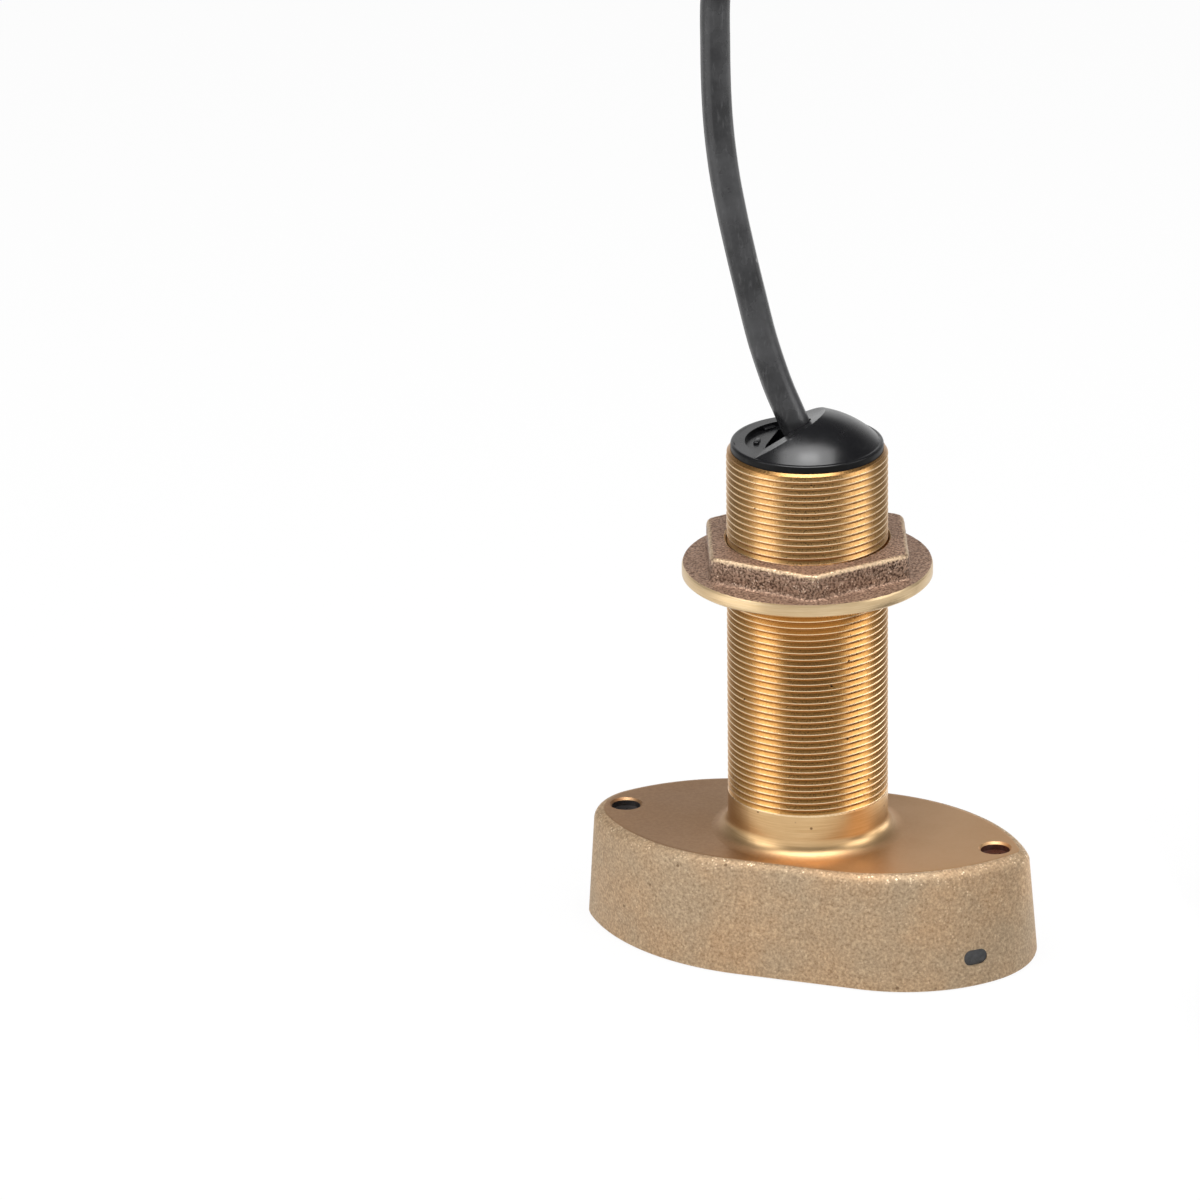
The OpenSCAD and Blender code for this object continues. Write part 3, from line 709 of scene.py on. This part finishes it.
def make_cap_plastic():
    """Moulded glossy black, with faint scuffs."""
    material, tree, where = new_material("cap_plastic", Specular_IOR_Level=0.4)
    scuff = noise(tree, stretched(tree, where, (1.0, 0.25, 1.0)), 420, 4.0, 0.65)
    patch = use(tree, stains, where, 90)["Patch"]
    colour = blend(tree, spread(tree, scuff, 0.55, 0.75), rgb(0.005, 0.005, 0.006),
                   rgb(0.012, 0.012, 0.013))
    return finish(material, colour, spread(tree, patch, 0.0, 1.0, 0.22, 0.29), scuff, 0.012 * MM, 0.35)


def make_cap_rim():
    """The cap's rim: the same black a touch darker, with less shine, as painted shade for the dark
    surroundings it mirrors.
    """
    material, tree, where = new_material("cap_rim_painted_shade", Specular_IOR_Level=0.12, Roughness=0.36)
    scuff = noise(tree, stretched(tree, where, (1.0, 1.0, 0.25)), 420, 4.0, 0.65)
    return finish(material, blend(tree, spread(tree, scuff, 0.55, 0.75), rgb(0.004, 0.004, 0.004),
                               rgb(0.010, 0.010, 0.011)))


def make_cable_jacket():
    """Extruded black jacket: dull, with a chalky bloom and fine handling marks."""
    material, tree, where = new_material("cable_jacket", Specular_IOR_Level=0.42)
    marks = noise(tree, stretched(tree, where, (1.0, 1.0, 0.22)), 900, 4.0, 0.65)
    patch = use(tree, stains, where, 75)["Patch"]
    dark = blend(tree, times(tree, patch, 0.9), rgb(0.012, 0.012, 0.013), rgb(0.05, 0.05, 0.052))
    scuffed = blend(tree, spread(tree, marks, 0.55, 0.8, 0.0, 0.6), dark, rgb(0.100, 0.100, 0.103))
    colour = blend(tree, use(tree, pits, where, 130)["Pit"], scuffed, rgb(0.24, 0.24, 0.24))
    return finish(material, colour, spread(tree, patch, 0.0, 1.0, 0.20, 0.34), marks, 0.02 * MM, 0.4)


def make_moulded(name, dark, pale, scale, roughness, depth):
    """A moulded plastic, rubber or resin with a fine skin."""
    material, tree, where = new_material(name)
    skin = noise(tree, where, scale)
    patch = use(tree, stains, where, 80)["Patch"]
    colour = blend(tree, spread(tree, skin, 0.35, 0.7), rgb(*dark), rgb(*pale))
    dullness = spread(tree, patch, 0.0, 1.0, roughness - 0.05, roughness + 0.07)
    return finish(material, colour, dullness, skin, depth, 0.6)


def make_potting_resin():
    """Cast resin, black towards the pointed end and reddish brown at the blunt end."""
    material, tree, where = new_material("potting_resin")
    skin = noise(tree, where, 300)
    along = component(tree, where, "X")
    base = blend(tree, spread(tree, along, 20 * MM, 50 * MM), rgb(0.028, 0.026, 0.026),
                 rgb(0.075, 0.024, 0.014))
    colour = blend(tree, spread(tree, skin, 0.45, 0.75, 0.0, 0.4), base, rgb(0.10, 0.09, 0.085))
    return finish(material, colour, spread(tree, skin, 0.3, 0.7, 0.25, 0.4), skin, 0.05 * MM, 0.5)


def make_tie_fabric():
    """Woven hook-and-loop strap."""
    material, tree, where = new_material("tie_fabric", Sheen_Weight=0.3)
    over, across = [add(tree, "TexWave", {"Vector": where, "Scale": 330.0}, bands_direction=axis)
                    .outputs["Fac"] for axis in "ZX"]
    fluff = noise(tree, where, 1500, 3.0, 0.7)
    cloth = sums(tree, "ADD", times(tree, over, across), fluff)
    colour = blend(tree, spread(tree, cloth, 0.3, 1.3), rgb(0.012, 0.012, 0.013), rgb(0.040, 0.040, 0.043))
    return finish(material, colour, spread(tree, fluff, 0.3, 0.7, 0.75, 0.9), cloth, 0.15 * MM, 0.8)


def make_pin_brass():
    material, tree, where = new_material("pin_brass", Metallic=1.0)
    line = noise(tree, stretched(tree, where, (0.05, 1.0, 1.0)), 4000)
    colour = blend(tree, spread(tree, line, 0.3, 0.7), rgb(0.72, 0.50, 0.20), rgb(0.86, 0.66, 0.32))
    return finish(material, colour, spread(tree, line, 0.3, 0.7, 0.16, 0.28))


blasted_bronze = make_blasted_bronze()
faced_bronze = make_faced_bronze()
turned_bronze = make_turned_bronze()
thread_bronze = make_thread_bronze()
nut_casting = make_nut_casting()
nut_turned = make_nut_turned()
cap_plastic = make_cap_plastic()
cap_rim_painted_shade = make_cap_rim()
cable_jacket = make_cable_jacket()
black_rubber = make_moulded("black_rubber", (0.012, 0.012, 0.013), (0.030, 0.030, 0.032),
                            1200, 0.60, 0.05 * MM)
plug_plastic = make_moulded("plug_plastic", (0.018, 0.018, 0.020), (0.036, 0.036, 0.039),
                            1500, 0.42, 0.03 * MM)
window_resin = make_moulded("window_resin", (0.022, 0.022, 0.023), (0.050, 0.050, 0.053),
                            700, 0.40, 0.03 * MM)
piezo_ceramic = make_moulded("piezo_ceramic", (0.52, 0.46, 0.35), (0.68, 0.62, 0.50),
                             900, 0.70, 0.02 * MM)
cork_rubber = make_moulded("cork_rubber", (0.10, 0.060, 0.030), (0.30, 0.200, 0.115),
                           500, 0.85, 0.15 * MM)
lead_insulation = make_moulded("lead_insulation", (0.30, 0.045, 0.035), (0.52, 0.095, 0.070),
                               900, 0.45, 0.02 * MM)
potting_resin = make_potting_resin()
tie_fabric = make_tie_fabric()
pin_brass = make_pin_brass()


# Housing and stem, one casting

def half_outline(inset, half_w, aft_flank_r, aft_flank_x, aft_nose_r,
                 fore_flank_r, fore_flank_x, fore_nose_r):
    """The +Y half of an outline, drawn in by an inset, from the pointed tip to the blunt tip."""
    aft_low = half_w - aft_flank_r
    fore_low = half_w - fore_flank_r
    aft_nose_x = aft_flank_x - sqrt((aft_flank_r - aft_nose_r) ** 2 - aft_low ** 2)
    fore_nose_x = fore_flank_x + sqrt((fore_flank_r - fore_nose_r) ** 2 - fore_low ** 2)
    aft_turn = degrees(atan2(-aft_low, aft_nose_x - aft_flank_x))
    fore_turn = degrees(atan2(-fore_low, fore_nose_x - fore_flank_x))
    return (arc_points((aft_nose_x, 0), aft_nose_r - inset, 180, aft_turn, 20)[:-1]
            + arc_points((aft_flank_x, aft_low), aft_flank_r - inset, aft_turn, 90, 44)
            + arc_points((fore_flank_x, fore_low), fore_flank_r - inset, 90, fore_turn, 44)[:-1]
            + arc_points((fore_nose_x, 0), fore_nose_r - inset, fore_turn, 0, 20))


def outline(form, inset=0):
    """The whole outline, clockwise from above, starting at the pointed tip."""
    half = half_outline(inset, **form)
    return half + [(x, -y) for x, y in reversed(half[1:-1])]


def lofted_prism(foot, top, low, high):
    """A closed solid between two outlines of the same number of points, at two heights."""
    piece = new_object(bpy.ops.mesh.primitive_circle_add, vertices=len(foot),
                       radius=max(x for x, y in foot), fill_type="NGON")
    for vertex, (x, y) in zip(piece.data.vertices, foot):
        vertex.co = (x, y, low)
    numbers = {vertex.co.to_tuple(6)[:2]: vertex.index for vertex in piece.data.vertices}
    edit_all(piece)
    extrude(0, 0, high - low)
    object_mode()
    for vertex in piece.data.vertices:
        if vertex.co.z > (low + high) / 2:
            x, y = top[numbers[vertex.co.to_tuple(6)[:2]]]
            vertex.co = (x, y, high)
    tidy_mesh(piece)
    return piece


def housing_body():
    """The oblong casting with its rounded top edge and the hollow for the sensor below."""
    body = lofted_prism(outline(FOOT_FORM), outline(TOP_FORM), 0, HOUSING_H)
    edit_edges(body, lambda ends: all(end.z > HOUSING_H - MM for end in ends))
    bpy.ops.mesh.bevel(offset=EDGE_R, segments=9, affect="EDGES")
    edit_edges(body, lambda ends: all(end.z < 0.1 * MM for end in ends))
    bpy.ops.mesh.bevel(offset=FACE_BEVEL, segments=2, affect="EDGES")
    tidy_mesh(body)
    hollow = outline(TOP_FORM, WALL)
    carve(body, lofted_prism(hollow, hollow, -MM, HOLLOW_H))
    return body


def filler_port_tool(x):
    """A drill with a countersink that leaves a chamfered hole through the roof."""
    low, top = HOLLOW_H - 2 * MM, HOUSING_H
    tool = turn_on_lathe([(0, low), (PORT_R, low), (PORT_R, top - PORT_BEVEL),
                          (PORT_R + PORT_BEVEL + MM, top + MM), (0, top + MM)], 48)
    return place(tool, move=(x, 0, 0))


def sensor_slot_tool():
    """A stadium-shaped cutter through the blunt flank, on the side that faces the viewer."""
    half = (SLOT_L - SLOT_H) / 2
    radius = SLOT_H / 2
    section = arc_points((half, 0), radius, -90, 90, 12) + arc_points((-half, 0), radius, 90, 270, 12)
    tool = push_out(section, 24 * MM)
    x = FOOT_FORM["fore_flank_x"] + SLOT_OUT * cos(SLOT_TURN)
    y = FOOT_FORM["fore_flank_r"] - FOOT_FORM["half_w"] + SLOT_OUT * sin(SLOT_TURN)
    return place(tool, move=(x, y, SLOT_Z), turn=(0, 0, pi / 2 + SLOT_TURN))


def thread_profile():
    """One pitch of the thread as (radius, z) points: long upper flank, narrow crest, steep underside."""
    root, edge = STEM_R - THREAD_DEPTH, STEM_R - CREST_BREAK
    shares = [(0.0, root), (0.05, root), (0.33, edge), (0.35, STEM_R), (0.46, STEM_R), (0.48, edge),
              (0.98, root), (1.0, root)]
    return [(radius, share * PITCH) for share, radius in shares]


def thread_fade(z):
    """How deep the thread is at a height: it runs out at the neck."""
    return smoothstep((z - THREAD_LOW) / (0.7 * PITCH))


def extrude_ring(scale, z):
    bpy.ops.mesh.extrude_region()
    bpy.ops.transform.resize(value=(scale, scale, 0), center_override=(0, 0, 0))
    bpy.ops.transform.translate(value=(0, 0, z))


def threaded_stem():
    """The stem with a real helical thread, a plain neck and the fillet at its foot."""
    start = THREAD_HIGH - THREAD_TURNS * PITCH
    stem = draw_line([(radius, start + z) for radius, z in thread_profile()])
    apply_modifier(stem, "SCREW", axis="Z", angle=tau, screw_offset=PITCH, iterations=THREAD_TURNS,
                   steps=THREAD_STEPS, render_steps=THREAD_STEPS, use_merge_vertices=False,
                   use_smooth_shade=True)
    for vertex in stem.data.vertices:
        radius = hypot(vertex.co.x, vertex.co.y)
        depth = (STEM_R - radius) * thread_fade(vertex.co.z)
        vertex.co.x *= (STEM_R - depth) / radius
        vertex.co.y *= (STEM_R - depth) / radius
    tidy_mesh(stem, 1e-5)
    low, high = THREAD_LOW - 0.04 * MM, STEM_TOP + 0.8 * MM
    edit_all(stem)
    bpy.ops.mesh.bisect(plane_co=(0, 0, low), plane_no=(0, 0, 1), clear_inner=True, threshold=1e-7)
    edit_all(stem)
    bpy.ops.mesh.bisect(plane_co=(0, 0, high), plane_no=(0, 0, 1), clear_outer=True, threshold=1e-7)
    object_mode()
    edit_open_edge(stem, 0, THREAD_LOW)
    radius = STEM_R
    for x, z in arc_points((STEM_R + FOOT_R, HOUSING_H + FOOT_R), FOOT_R, 180, 268, 16):
        extrude_ring(x / radius, z)
        radius = x
    extrude_ring(1, HOUSING_H - 2 * MM)
    bpy.ops.mesh.edge_face_add()
    object_mode()
    edit_open_edge(stem, STEM_TOP, THREAD_HIGH)
    extrude_ring(1, THREAD_HIGH)
    bpy.ops.mesh.edge_face_add()
    tidy_mesh(stem, 1e-5)
    reach, beside = STEM_R + 2 * FOOT_R, STEM_R + MM
    bottom, step = HOUSING_H - 3 * MM, HOUSING_H + 2 * FOOT_R
    blank = turn_on_lathe([(0, bottom), (reach, bottom), (reach, step), (beside, step),
                           (beside, STEM_TOP - CHAMFER_H), (STEM_R - CHAMFER_IN, STEM_TOP),
                           (0, STEM_TOP)], 128)
    carve(stem, blank, "INTERSECT")
    return stem


def casting_part(centre):
    """0 blasted side, 1 faced top, 2 turned neck, 3 thread, 4 wall of a filler port, given the dark resin
    as painted shade inside the hole.
    """
    radius = hypot(centre.x, centre.y)
    if radius < STEM_R + FOOT_R and centre.z > HOUSING_H + 0.01 * MM:
        return 3 if centre.z > THREAD_LOW else 2
    ports = min(hypot(centre.x - x, centre.y) for x in (AFT_PORT_X, FORE_PORT_X))
    # The ports' walls take the dark resin: painted shade in the holes
    if ports < PORT_R + 0.05 * MM and HOLLOW_H < centre.z < HOUSING_H - PORT_BEVEL:
        return 4
    if centre.z > HOUSING_H - 0.05 * MM or ports < PORT_R + PORT_BEVEL + 0.1 * MM:
        return 1
    return 0


def make_housing():
    body = housing_body()
    for x in (AFT_PORT_X, FORE_PORT_X):
        carve(body, filler_port_tool(x))
    carve(body, sensor_slot_tool())
    carve(body, threaded_stem(), "UNION")
    low, high = HOLLOW_H - 3 * MM, STEM_TOP + MM
    carve(body, turn_on_lathe([(0, low), (BORE_R, low), (BORE_R, high), (0, high)], 96))
    dress(body, "transducer_housing", "transducer", "cast_bronze",
          [blasted_bronze, faced_bronze, turned_bronze, thread_bronze, potting_resin], "housing")
    paint(body, casting_part)
    shade(body, 24)
    edit_edges(body, lambda ends: all(abs(end.z - HOUSING_H) < 0.02 * MM for end in ends))
    bpy.ops.mesh.mark_sharp()
    object_mode()


# Hull nut

def hexagon_block():
    low = NUT_Z + MM
    block = new_object(bpy.ops.mesh.primitive_cylinder_add, vertices=6, radius=HEX_AF / sqrt(3),
                       depth=HEX_TOP - low, location=(0, 0, (low + HEX_TOP) / 2),
                       rotation=(0, 0, HEX_TURN + pi / 6))
    bpy.ops.object.transform_apply(location=True, rotation=True)
    edit_edges(block, lambda ends: abs(ends[0].z - ends[1].z) > MM)
    bpy.ops.mesh.bevel(offset=HEX_CORNER_R, segments=4, affect="EDGES")
    edit_edges(block, lambda ends: all(end.z > HEX_TOP - 0.1 * MM for end in ends))
    bpy.ops.mesh.bevel(offset=HEX_EDGE_R, segments=3, affect="EDGES")
    object_mode()
    return block


def hexagon_edge_distance(point):
    """How far a point lies from the nearest edge of the hexagon's top or its nearest upright edge."""
    corner_r = HEX_AF / sqrt(3)
    angle = (atan2(point.y, point.x) - HEX_TURN) % (pi / 3)
    radius = hypot(point.x, point.y)
    top_edge = hypot(radius * cos(angle - pi / 6) - HEX_AF / 2, point.z - HEX_TOP)
    corner = min(hypot(radius * cos(turn) - corner_r, radius * sin(turn))
                 for turn in (angle, angle - pi / 3))
    below = 0 if point.z > FLANGE_TOP + MM else 9 * MM
    return min(top_edge, corner + below)


def edge_wear(point):
    """1 on the hexagon's top edges, falling to 0 away from them."""
    near = exp(-(hexagon_edge_distance(point) / WEAR_REACH) ** 2)
    return near * smoothstep((point.z - HEX_TOP) / WEAR_DEPTH + 1.2)


def nut_part(centre):
    """0 cast skin, 1 turned rim, seat and bore."""
    radius = hypot(centre.x, centre.y)
    return int(radius > FLANGE_R - 0.4 * MM or radius < NUT_BORE_R + 0.6 * MM
               or centre.z < NUT_Z + 0.6 * MM)


def make_nut():
    nut = hexagon_block()
    low, wide = NUT_Z - MM, FLANGE_R + 2 * MM
    carve(nut, turn_on_lathe([(0, low), (wide, low), (wide, FLANGE_TOP), (0, FLANGE_TOP)], 128), "UNION")
    apply_modifier(nut, "REMESH", mode="VOXEL", voxel_size=CAST_GRID, use_smooth_shade=True)
    apply_modifier(nut, "SMOOTH", factor=0.5, iterations=5)
    lumps = bpy.data.textures.new("casting_lumps", "CLOUDS")
    lumps.noise_scale = LUMP_SIZE
    apply_modifier(nut, "DISPLACE", texture=lumps, strength=LUMP_HEIGHT, mid_level=0.5,
                   texture_coords="LOCAL")
    inner, above = FLANGE_R - 0.7 * MM, FLANGE_TOP + 2 * HEX_H
    rim = [(0, NUT_Z), (FLANGE_R - 0.5 * MM, NUT_Z), (FLANGE_R, NUT_Z + 0.5 * MM),
           (FLANGE_R, FLANGE_TOP - 0.9 * MM), (FLANGE_R - 0.25 * MM, FLANGE_TOP - 0.35 * MM),
           (inner, FLANGE_TOP + MM), (inner, above), (0, above)]
    carve(nut, turn_on_lathe(rim, 160), "INTERSECT")
    bore = [(0, low), (NUT_BORE_R + 2 * MM, low), (NUT_BORE_R, NUT_Z + MM),
            (NUT_BORE_R, HEX_TOP - 0.5 * MM), (NUT_BORE_R + 1.5 * MM, HEX_TOP + MM), (0, HEX_TOP + MM)]
    carve(nut, turn_on_lathe(bore, 128))
    dress(nut, "hull_nut_casting", "nut", "nut_bronze", [nut_casting, nut_turned], "hull_nut")
    paint(nut, nut_part)
    wear = nut.data.attributes.new("edge_wear", "FLOAT", "POINT")
    wear.data.foreach_set("value", [edge_wear(vertex.co) for vertex in nut.data.vertices])
    shade(nut, 40)


# Cable cap

def cap_blank():
    """The cap before its flat is cut: spigot, seal groove, rim and dome."""
    dome_foot = sqrt(DOME_R ** 2 - (RIM_TOP - DOME_Z) ** 2)
    foot_angle = degrees(atan2(RIM_TOP - DOME_Z, dome_foot))
    rim_edge = arc_points((CAP_R - RIM_ROUND, RIM_TOP - RIM_ROUND), RIM_ROUND, 0, 90, 6)
    dome = arc_points((0, DOME_Z), DOME_R, foot_angle, 90, 28)
    groove_r = SPIGOT_R - SEAL_DEPTH
    spigot = [(0, SPIGOT_LOW), (SPIGOT_R - 0.6 * MM, SPIGOT_LOW), (SPIGOT_R, SPIGOT_LOW + 0.6 * MM),
              (SPIGOT_R, SEAL_LOW), (groove_r, SEAL_LOW), (groove_r, SEAL_HIGH), (SPIGOT_R, SEAL_HIGH),
              (SPIGOT_R, STEM_TOP), (CAP_R, STEM_TOP)]
    return turn_on_lathe(spigot + rim_edge + dome[:-1] + [(0, DOME_Z + DOME_R)], 160)


def flat_tool():
    """The wedge of air over the flat: level over the flat, then rising through the dome."""
    reach = 30 * MM
    high = RIM_TOP + 20 * MM
    rise_end = CUT_FOOT + (high - RIM_TOP) / CUT_SLOPE
    return push_out([(-reach, RIM_TOP), (CUT_FOOT, RIM_TOP), (rise_end, high), (-reach, high)], 2 * reach)


def pocket_tool():
    """A D-shaped recess in the flat."""
    side = degrees(asin(POCKET_HALF / POCKET_R))
    arc = arc_points((0, 0), POCKET_R, 180 - side, 180 + side, 24)
    edge_x = CUT_FOOT - 0.4 * MM
    tool = push_out(arc + [(edge_x, -POCKET_HALF), (edge_x, POCKET_HALF)], 6 * MM)
    return place(tool, turn=(pi / 2, 0, 0), move=(0, 0, RIM_TOP - POCKET_DEPTH + 3 * MM))


def slit_tool():
    """The deep opening in the flat and the rising cut, from a tip on each side to the cable."""
    tool = push_out([(x * MM, z * MM) for x, z in SLIT], SLIT_DEPTH)
    return place(tool, turn=(pi / 2, 0, 0), move=(0, 0, RIM_TOP))


def pocket_mark(y):
    """A low bar on the pocket's floor."""
    bar = new_object(bpy.ops.mesh.primitive_cube_add, size=1)
    bar.scale = MARK_SIZE
    bpy.ops.object.transform_apply(scale=True)
    apply_modifier(bar, "BEVEL", width=0.5 * MM, segments=3)
    return place(bar, turn=(0, 0, atan2(y, MARK_X)), move=(MARK_X, y, RIM_TOP - POCKET_DEPTH - 0.1 * MM))


def cap_part(centre):
    """0 dome, flat and spigot, 1 rim, whose material is darker as painted shade."""
    return int(hypot(centre.x, centre.y) > CAP_R - 0.1 * MM and centre.z < RIM_TOP - RIM_ROUND / 2)


def make_cap():
    cap = cap_blank()
    carve(cap, flat_tool())
    apply_modifier(cap, "BEVEL", width=0.45 * MM, segments=3, limit_method="ANGLE", angle_limit=radians(20))
    carve(cap, pocket_tool())
    for y in MARK_YS:
        carve(cap, pocket_mark(y), "UNION")
    carve(cap, slit_tool())
    drill = new_object(bpy.ops.mesh.primitive_cylinder_add, vertices=64, radius=CABLE_R + EXIT_ROOM,
                       depth=60 * MM, location=EXIT, rotation=(0, -EXIT_LEAN, 0))
    bpy.ops.object.transform_apply(location=True, rotation=True)
    carve(cap, drill)
    dress(cap, "cable_cap_moulding", "transducer", "cap_plastic", [cap_plastic, cap_rim_painted_shade], "cable_cap")
    paint(cap, cap_part)
    shade(cap, 30)


# Hank ties and plug boot

def make_tie(name, node, move, turn):
    """A fabric strap round one run of the hank, with its end laid over it."""
    tie = new_object(bpy.ops.mesh.primitive_plane_add, size=1)
    tie.scale = (TIE_WIDE, TIE_HIGH, 1)
    bpy.ops.object.transform_apply(scale=True)
    edit_all(tie)
    bpy.ops.mesh.bevel(offset=CABLE_R + TIE_T, segments=8, affect="VERTICES")
    bpy.ops.mesh.inset(thickness=TIE_T)
    bpy.ops.mesh.delete(type="FACE")
    bpy.ops.mesh.select_all(action="SELECT")
    bpy.ops.transform.translate(value=(0, 0, -TIE_W / 2))
    extrude(0, 0, TIE_W)
    tidy_mesh(tie)
    inner, outer = -TIE_WIDE / 2 + 0.2 * MM, -TIE_WIDE / 2 - 0.7 * MM
    flap = push_out([(inner, -12 * MM), (outer, -11.2 * MM), (outer, 17 * MM), (inner, 18 * MM)],
                    TIE_W - 0.6 * MM)
    carve(tie, place(flap, turn=(-pi / 2, 0, 0)), "UNION")
    apply_modifier(tie, "BEVEL", width=0.25 * MM, segments=2, limit_method="ANGLE", angle_limit=radians(40))
    place(tie, move=move, turn=turn)
    dress(tie, name, "transducer", "tie_strap", [tie_fabric], node)
    shade(tie, 35)
    return tie


def make_boot():
    """The ribbed strain relief behind the plug's shell."""
    foot_r = CABLE_R + MM
    points = [(CABLE_R, 0), (foot_r - 0.3 * MM, 0), (foot_r, 0.4 * MM)]
    for i in range(BOOT_RIBS):
        for share, sink in ((0.30, 0), (0.42, 0.9 * MM), (0.72, 0.9 * MM), (0.84, 0)):
            z = (2 + 4 * (i + share)) * MM
            points.append((foot_r + (BOOT_HEAD_R - foot_r) * z / BOOT_L - sink, z))
    points += [(BOOT_HEAD_R, 23.5 * MM), (BOOT_HEAD_R, BOOT_L - 0.3 * MM), (BOOT_HEAD_R - 0.3 * MM, BOOT_L),
               (CABLE_R, BOOT_L), (CABLE_R, 0)]
    boot = turn_on_lathe(points, 64)
    apply_modifier(boot, "BEVEL", width=0.2 * MM, segments=2, limit_method="ANGLE", angle_limit=radians(30))
    place(boot, move=(PLUG_X, PLUG_Y, PLUG_Z), turn=(0, pi / 2, 0))
    dress(boot, "plug_boot_ribbed", "transducer", "black_rubber", [black_rubber], "plug_boot")
    shade(boot, 35)
    return boot


# Cable

def rounded_path(points, step):
    """Points close together on a smooth curve through the given ones."""
    path = []
    for i in range(len(points) - 1):
        before = points[max(i - 1, 0)]
        start, end = points[i], points[i + 1]
        after = points[min(i + 2, len(points) - 1)]
        count = max(1, round((end - start).length / step))
        for k in range(count):
            t = k / count
            path.append(0.5 * (2 * start + (end - before) * t
                               + (2 * before - 5 * start + 4 * end - after) * t * t
                               + (3 * start - before - 3 * end + after) * t * t * t))
    path.append(points[-1])
    return path


def hank_tracks():
    """Radius and height of each turn, from the bottom outer one to the top outer one."""
    turns = []
    for layer in range(HANK_LAYERS):
        order = HANK_TRACKS if layer % 2 == 0 else HANK_TRACKS[::-1]
        turns += [(radius, HANK_LOW + layer * CABLE_D) for radius in order]
    return turns


def end_arc(centre_x, start, radius, z, steps=22):
    """Half a turn, clockwise from above, without its last point."""
    arc = []
    for i in range(steps):
        angle = start - pi * i / steps
        arc.append(Vector((centre_x + radius * cos(angle), radius * sin(angle), z)))
    return arc


def straight_run(x0, x1, y, z, steps=6):
    return [Vector((x0 + (x1 - x0) * i / steps, y, z)) for i in range(steps)]


def shifted_run(here, there, steps=14):
    """The far straight, on which a turn moves to the next track or climbs to the next layer."""
    (radius, z), (next_radius, next_z) = here, there
    climbs = next_z > z
    aside = 0.35 * CABLE_D * (1 if radius == HANK_TRACKS[0] else -1) if climbs else 0
    run = []
    for i in range(steps):
        t = i / steps
        share = smoothstep(t)
        bump = aside * sin(pi * t) ** 2
        run.append(Vector((HANK_X + HANK_STRAIGHT * t, radius + (next_radius - radius) * share + bump,
                           z + (next_z - z) * share)))
    return run


def hank_path():
    far_x = HANK_X + HANK_STRAIGHT
    turns = hank_tracks()
    path = []
    for i, (radius, z) in enumerate(turns):
        path += end_arc(far_x, pi / 2, radius, z)
        path += straight_run(far_x, HANK_X, -radius, z)
        if i + 1 < len(turns):
            path += end_arc(HANK_X, -pi / 2, radius, z)
            path += shifted_run((radius, z), turns[i + 1])
    return path


def tail_path(steps=24):
    """The last stretch: up out of the hank round its near end and into the connector's boot."""
    radius, z = hank_tracks()[-1]
    path = []
    for i in range(steps + 1):
        t = i / steps
        angle = radians(270 - 180 * t)
        r = radius - (radius - PLUG_Y) * smoothstep(2 * t - 1)
        path.append(Vector((HANK_X + r * cos(angle), r * sin(angle),
                            z + (PLUG_Z - z) * smoothstep(t))))
    path.append(Vector((PLUG_X + 12 * MM, PLUG_Y, PLUG_Z)))
    path.append(Vector((PLUG_X + 24 * MM, PLUG_Y, PLUG_Z)))
    return path


def make_cable():
    route = rounded_path([Vector(point) * MM for point in ROUTE], 4 * MM)
    path = route[:-1] + hank_path() + tail_path()
    curve = bpy.data.curves.new("cable", "CURVE")
    curve.dimensions = "3D"
    curve.bevel_depth = CABLE_R
    curve.bevel_resolution = 4
    curve.use_fill_caps = True
    spline = curve.splines.new("POLY")
    spline.points.add(len(path) - 1)
    for point, spot in zip(spline.points, path):
        point.co = (*spot, 1)
    spline.use_smooth = True
    cable = bpy.data.objects.new("transducer_cable", curve)
    bpy.context.scene.collection.objects.link(cable)
    curve.materials.append(cable_jacket)
    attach(cable, "transducer")
    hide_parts("cable", "cable_hank", "cable_tail")


# Solids kept as they are

def keep_solids():
    """Gives every solid that stays its own material."""
    finishes = {
        black_rubber: ["cable_grommet", "cap_o_ring", "face_seal"],
        plug_plastic: ["plug_shell", "coupling_ring", "plug_insert"],
        pin_brass: ["contact_pins"],
        window_resin: ["acoustic_window", "sensor_window", "thermistor"],
        piezo_ceramic: ["piezo_disc"],
        cork_rubber: ["isolator_cup"],
        lead_insulation: ["signal_lead", "ground_lead", "thermistor_lead"],
        potting_resin: ["potting"],
    }
    for material, names in finishes.items():
        for name in names:
            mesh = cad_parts[name].data
            mesh.materials.clear()
            mesh.materials.append(material)


make_studio()
make_housing()
make_nut()
make_cap()
side_tie = make_tie("hank_tie_strap_side", "hank_tie_side", (SIDE_TIE_X, -HANK_MID, TIE_Z),
                    (pi / 2, 0, pi / 2))
end_tie = make_tie("hank_tie_strap_end", "hank_tie_end", (HANK_X + HANK_STRAIGHT + HANK_MID, 0, TIE_Z),
                   (pi / 2, 0, 0))
boot = make_boot()
make_cable()
keep_solids()
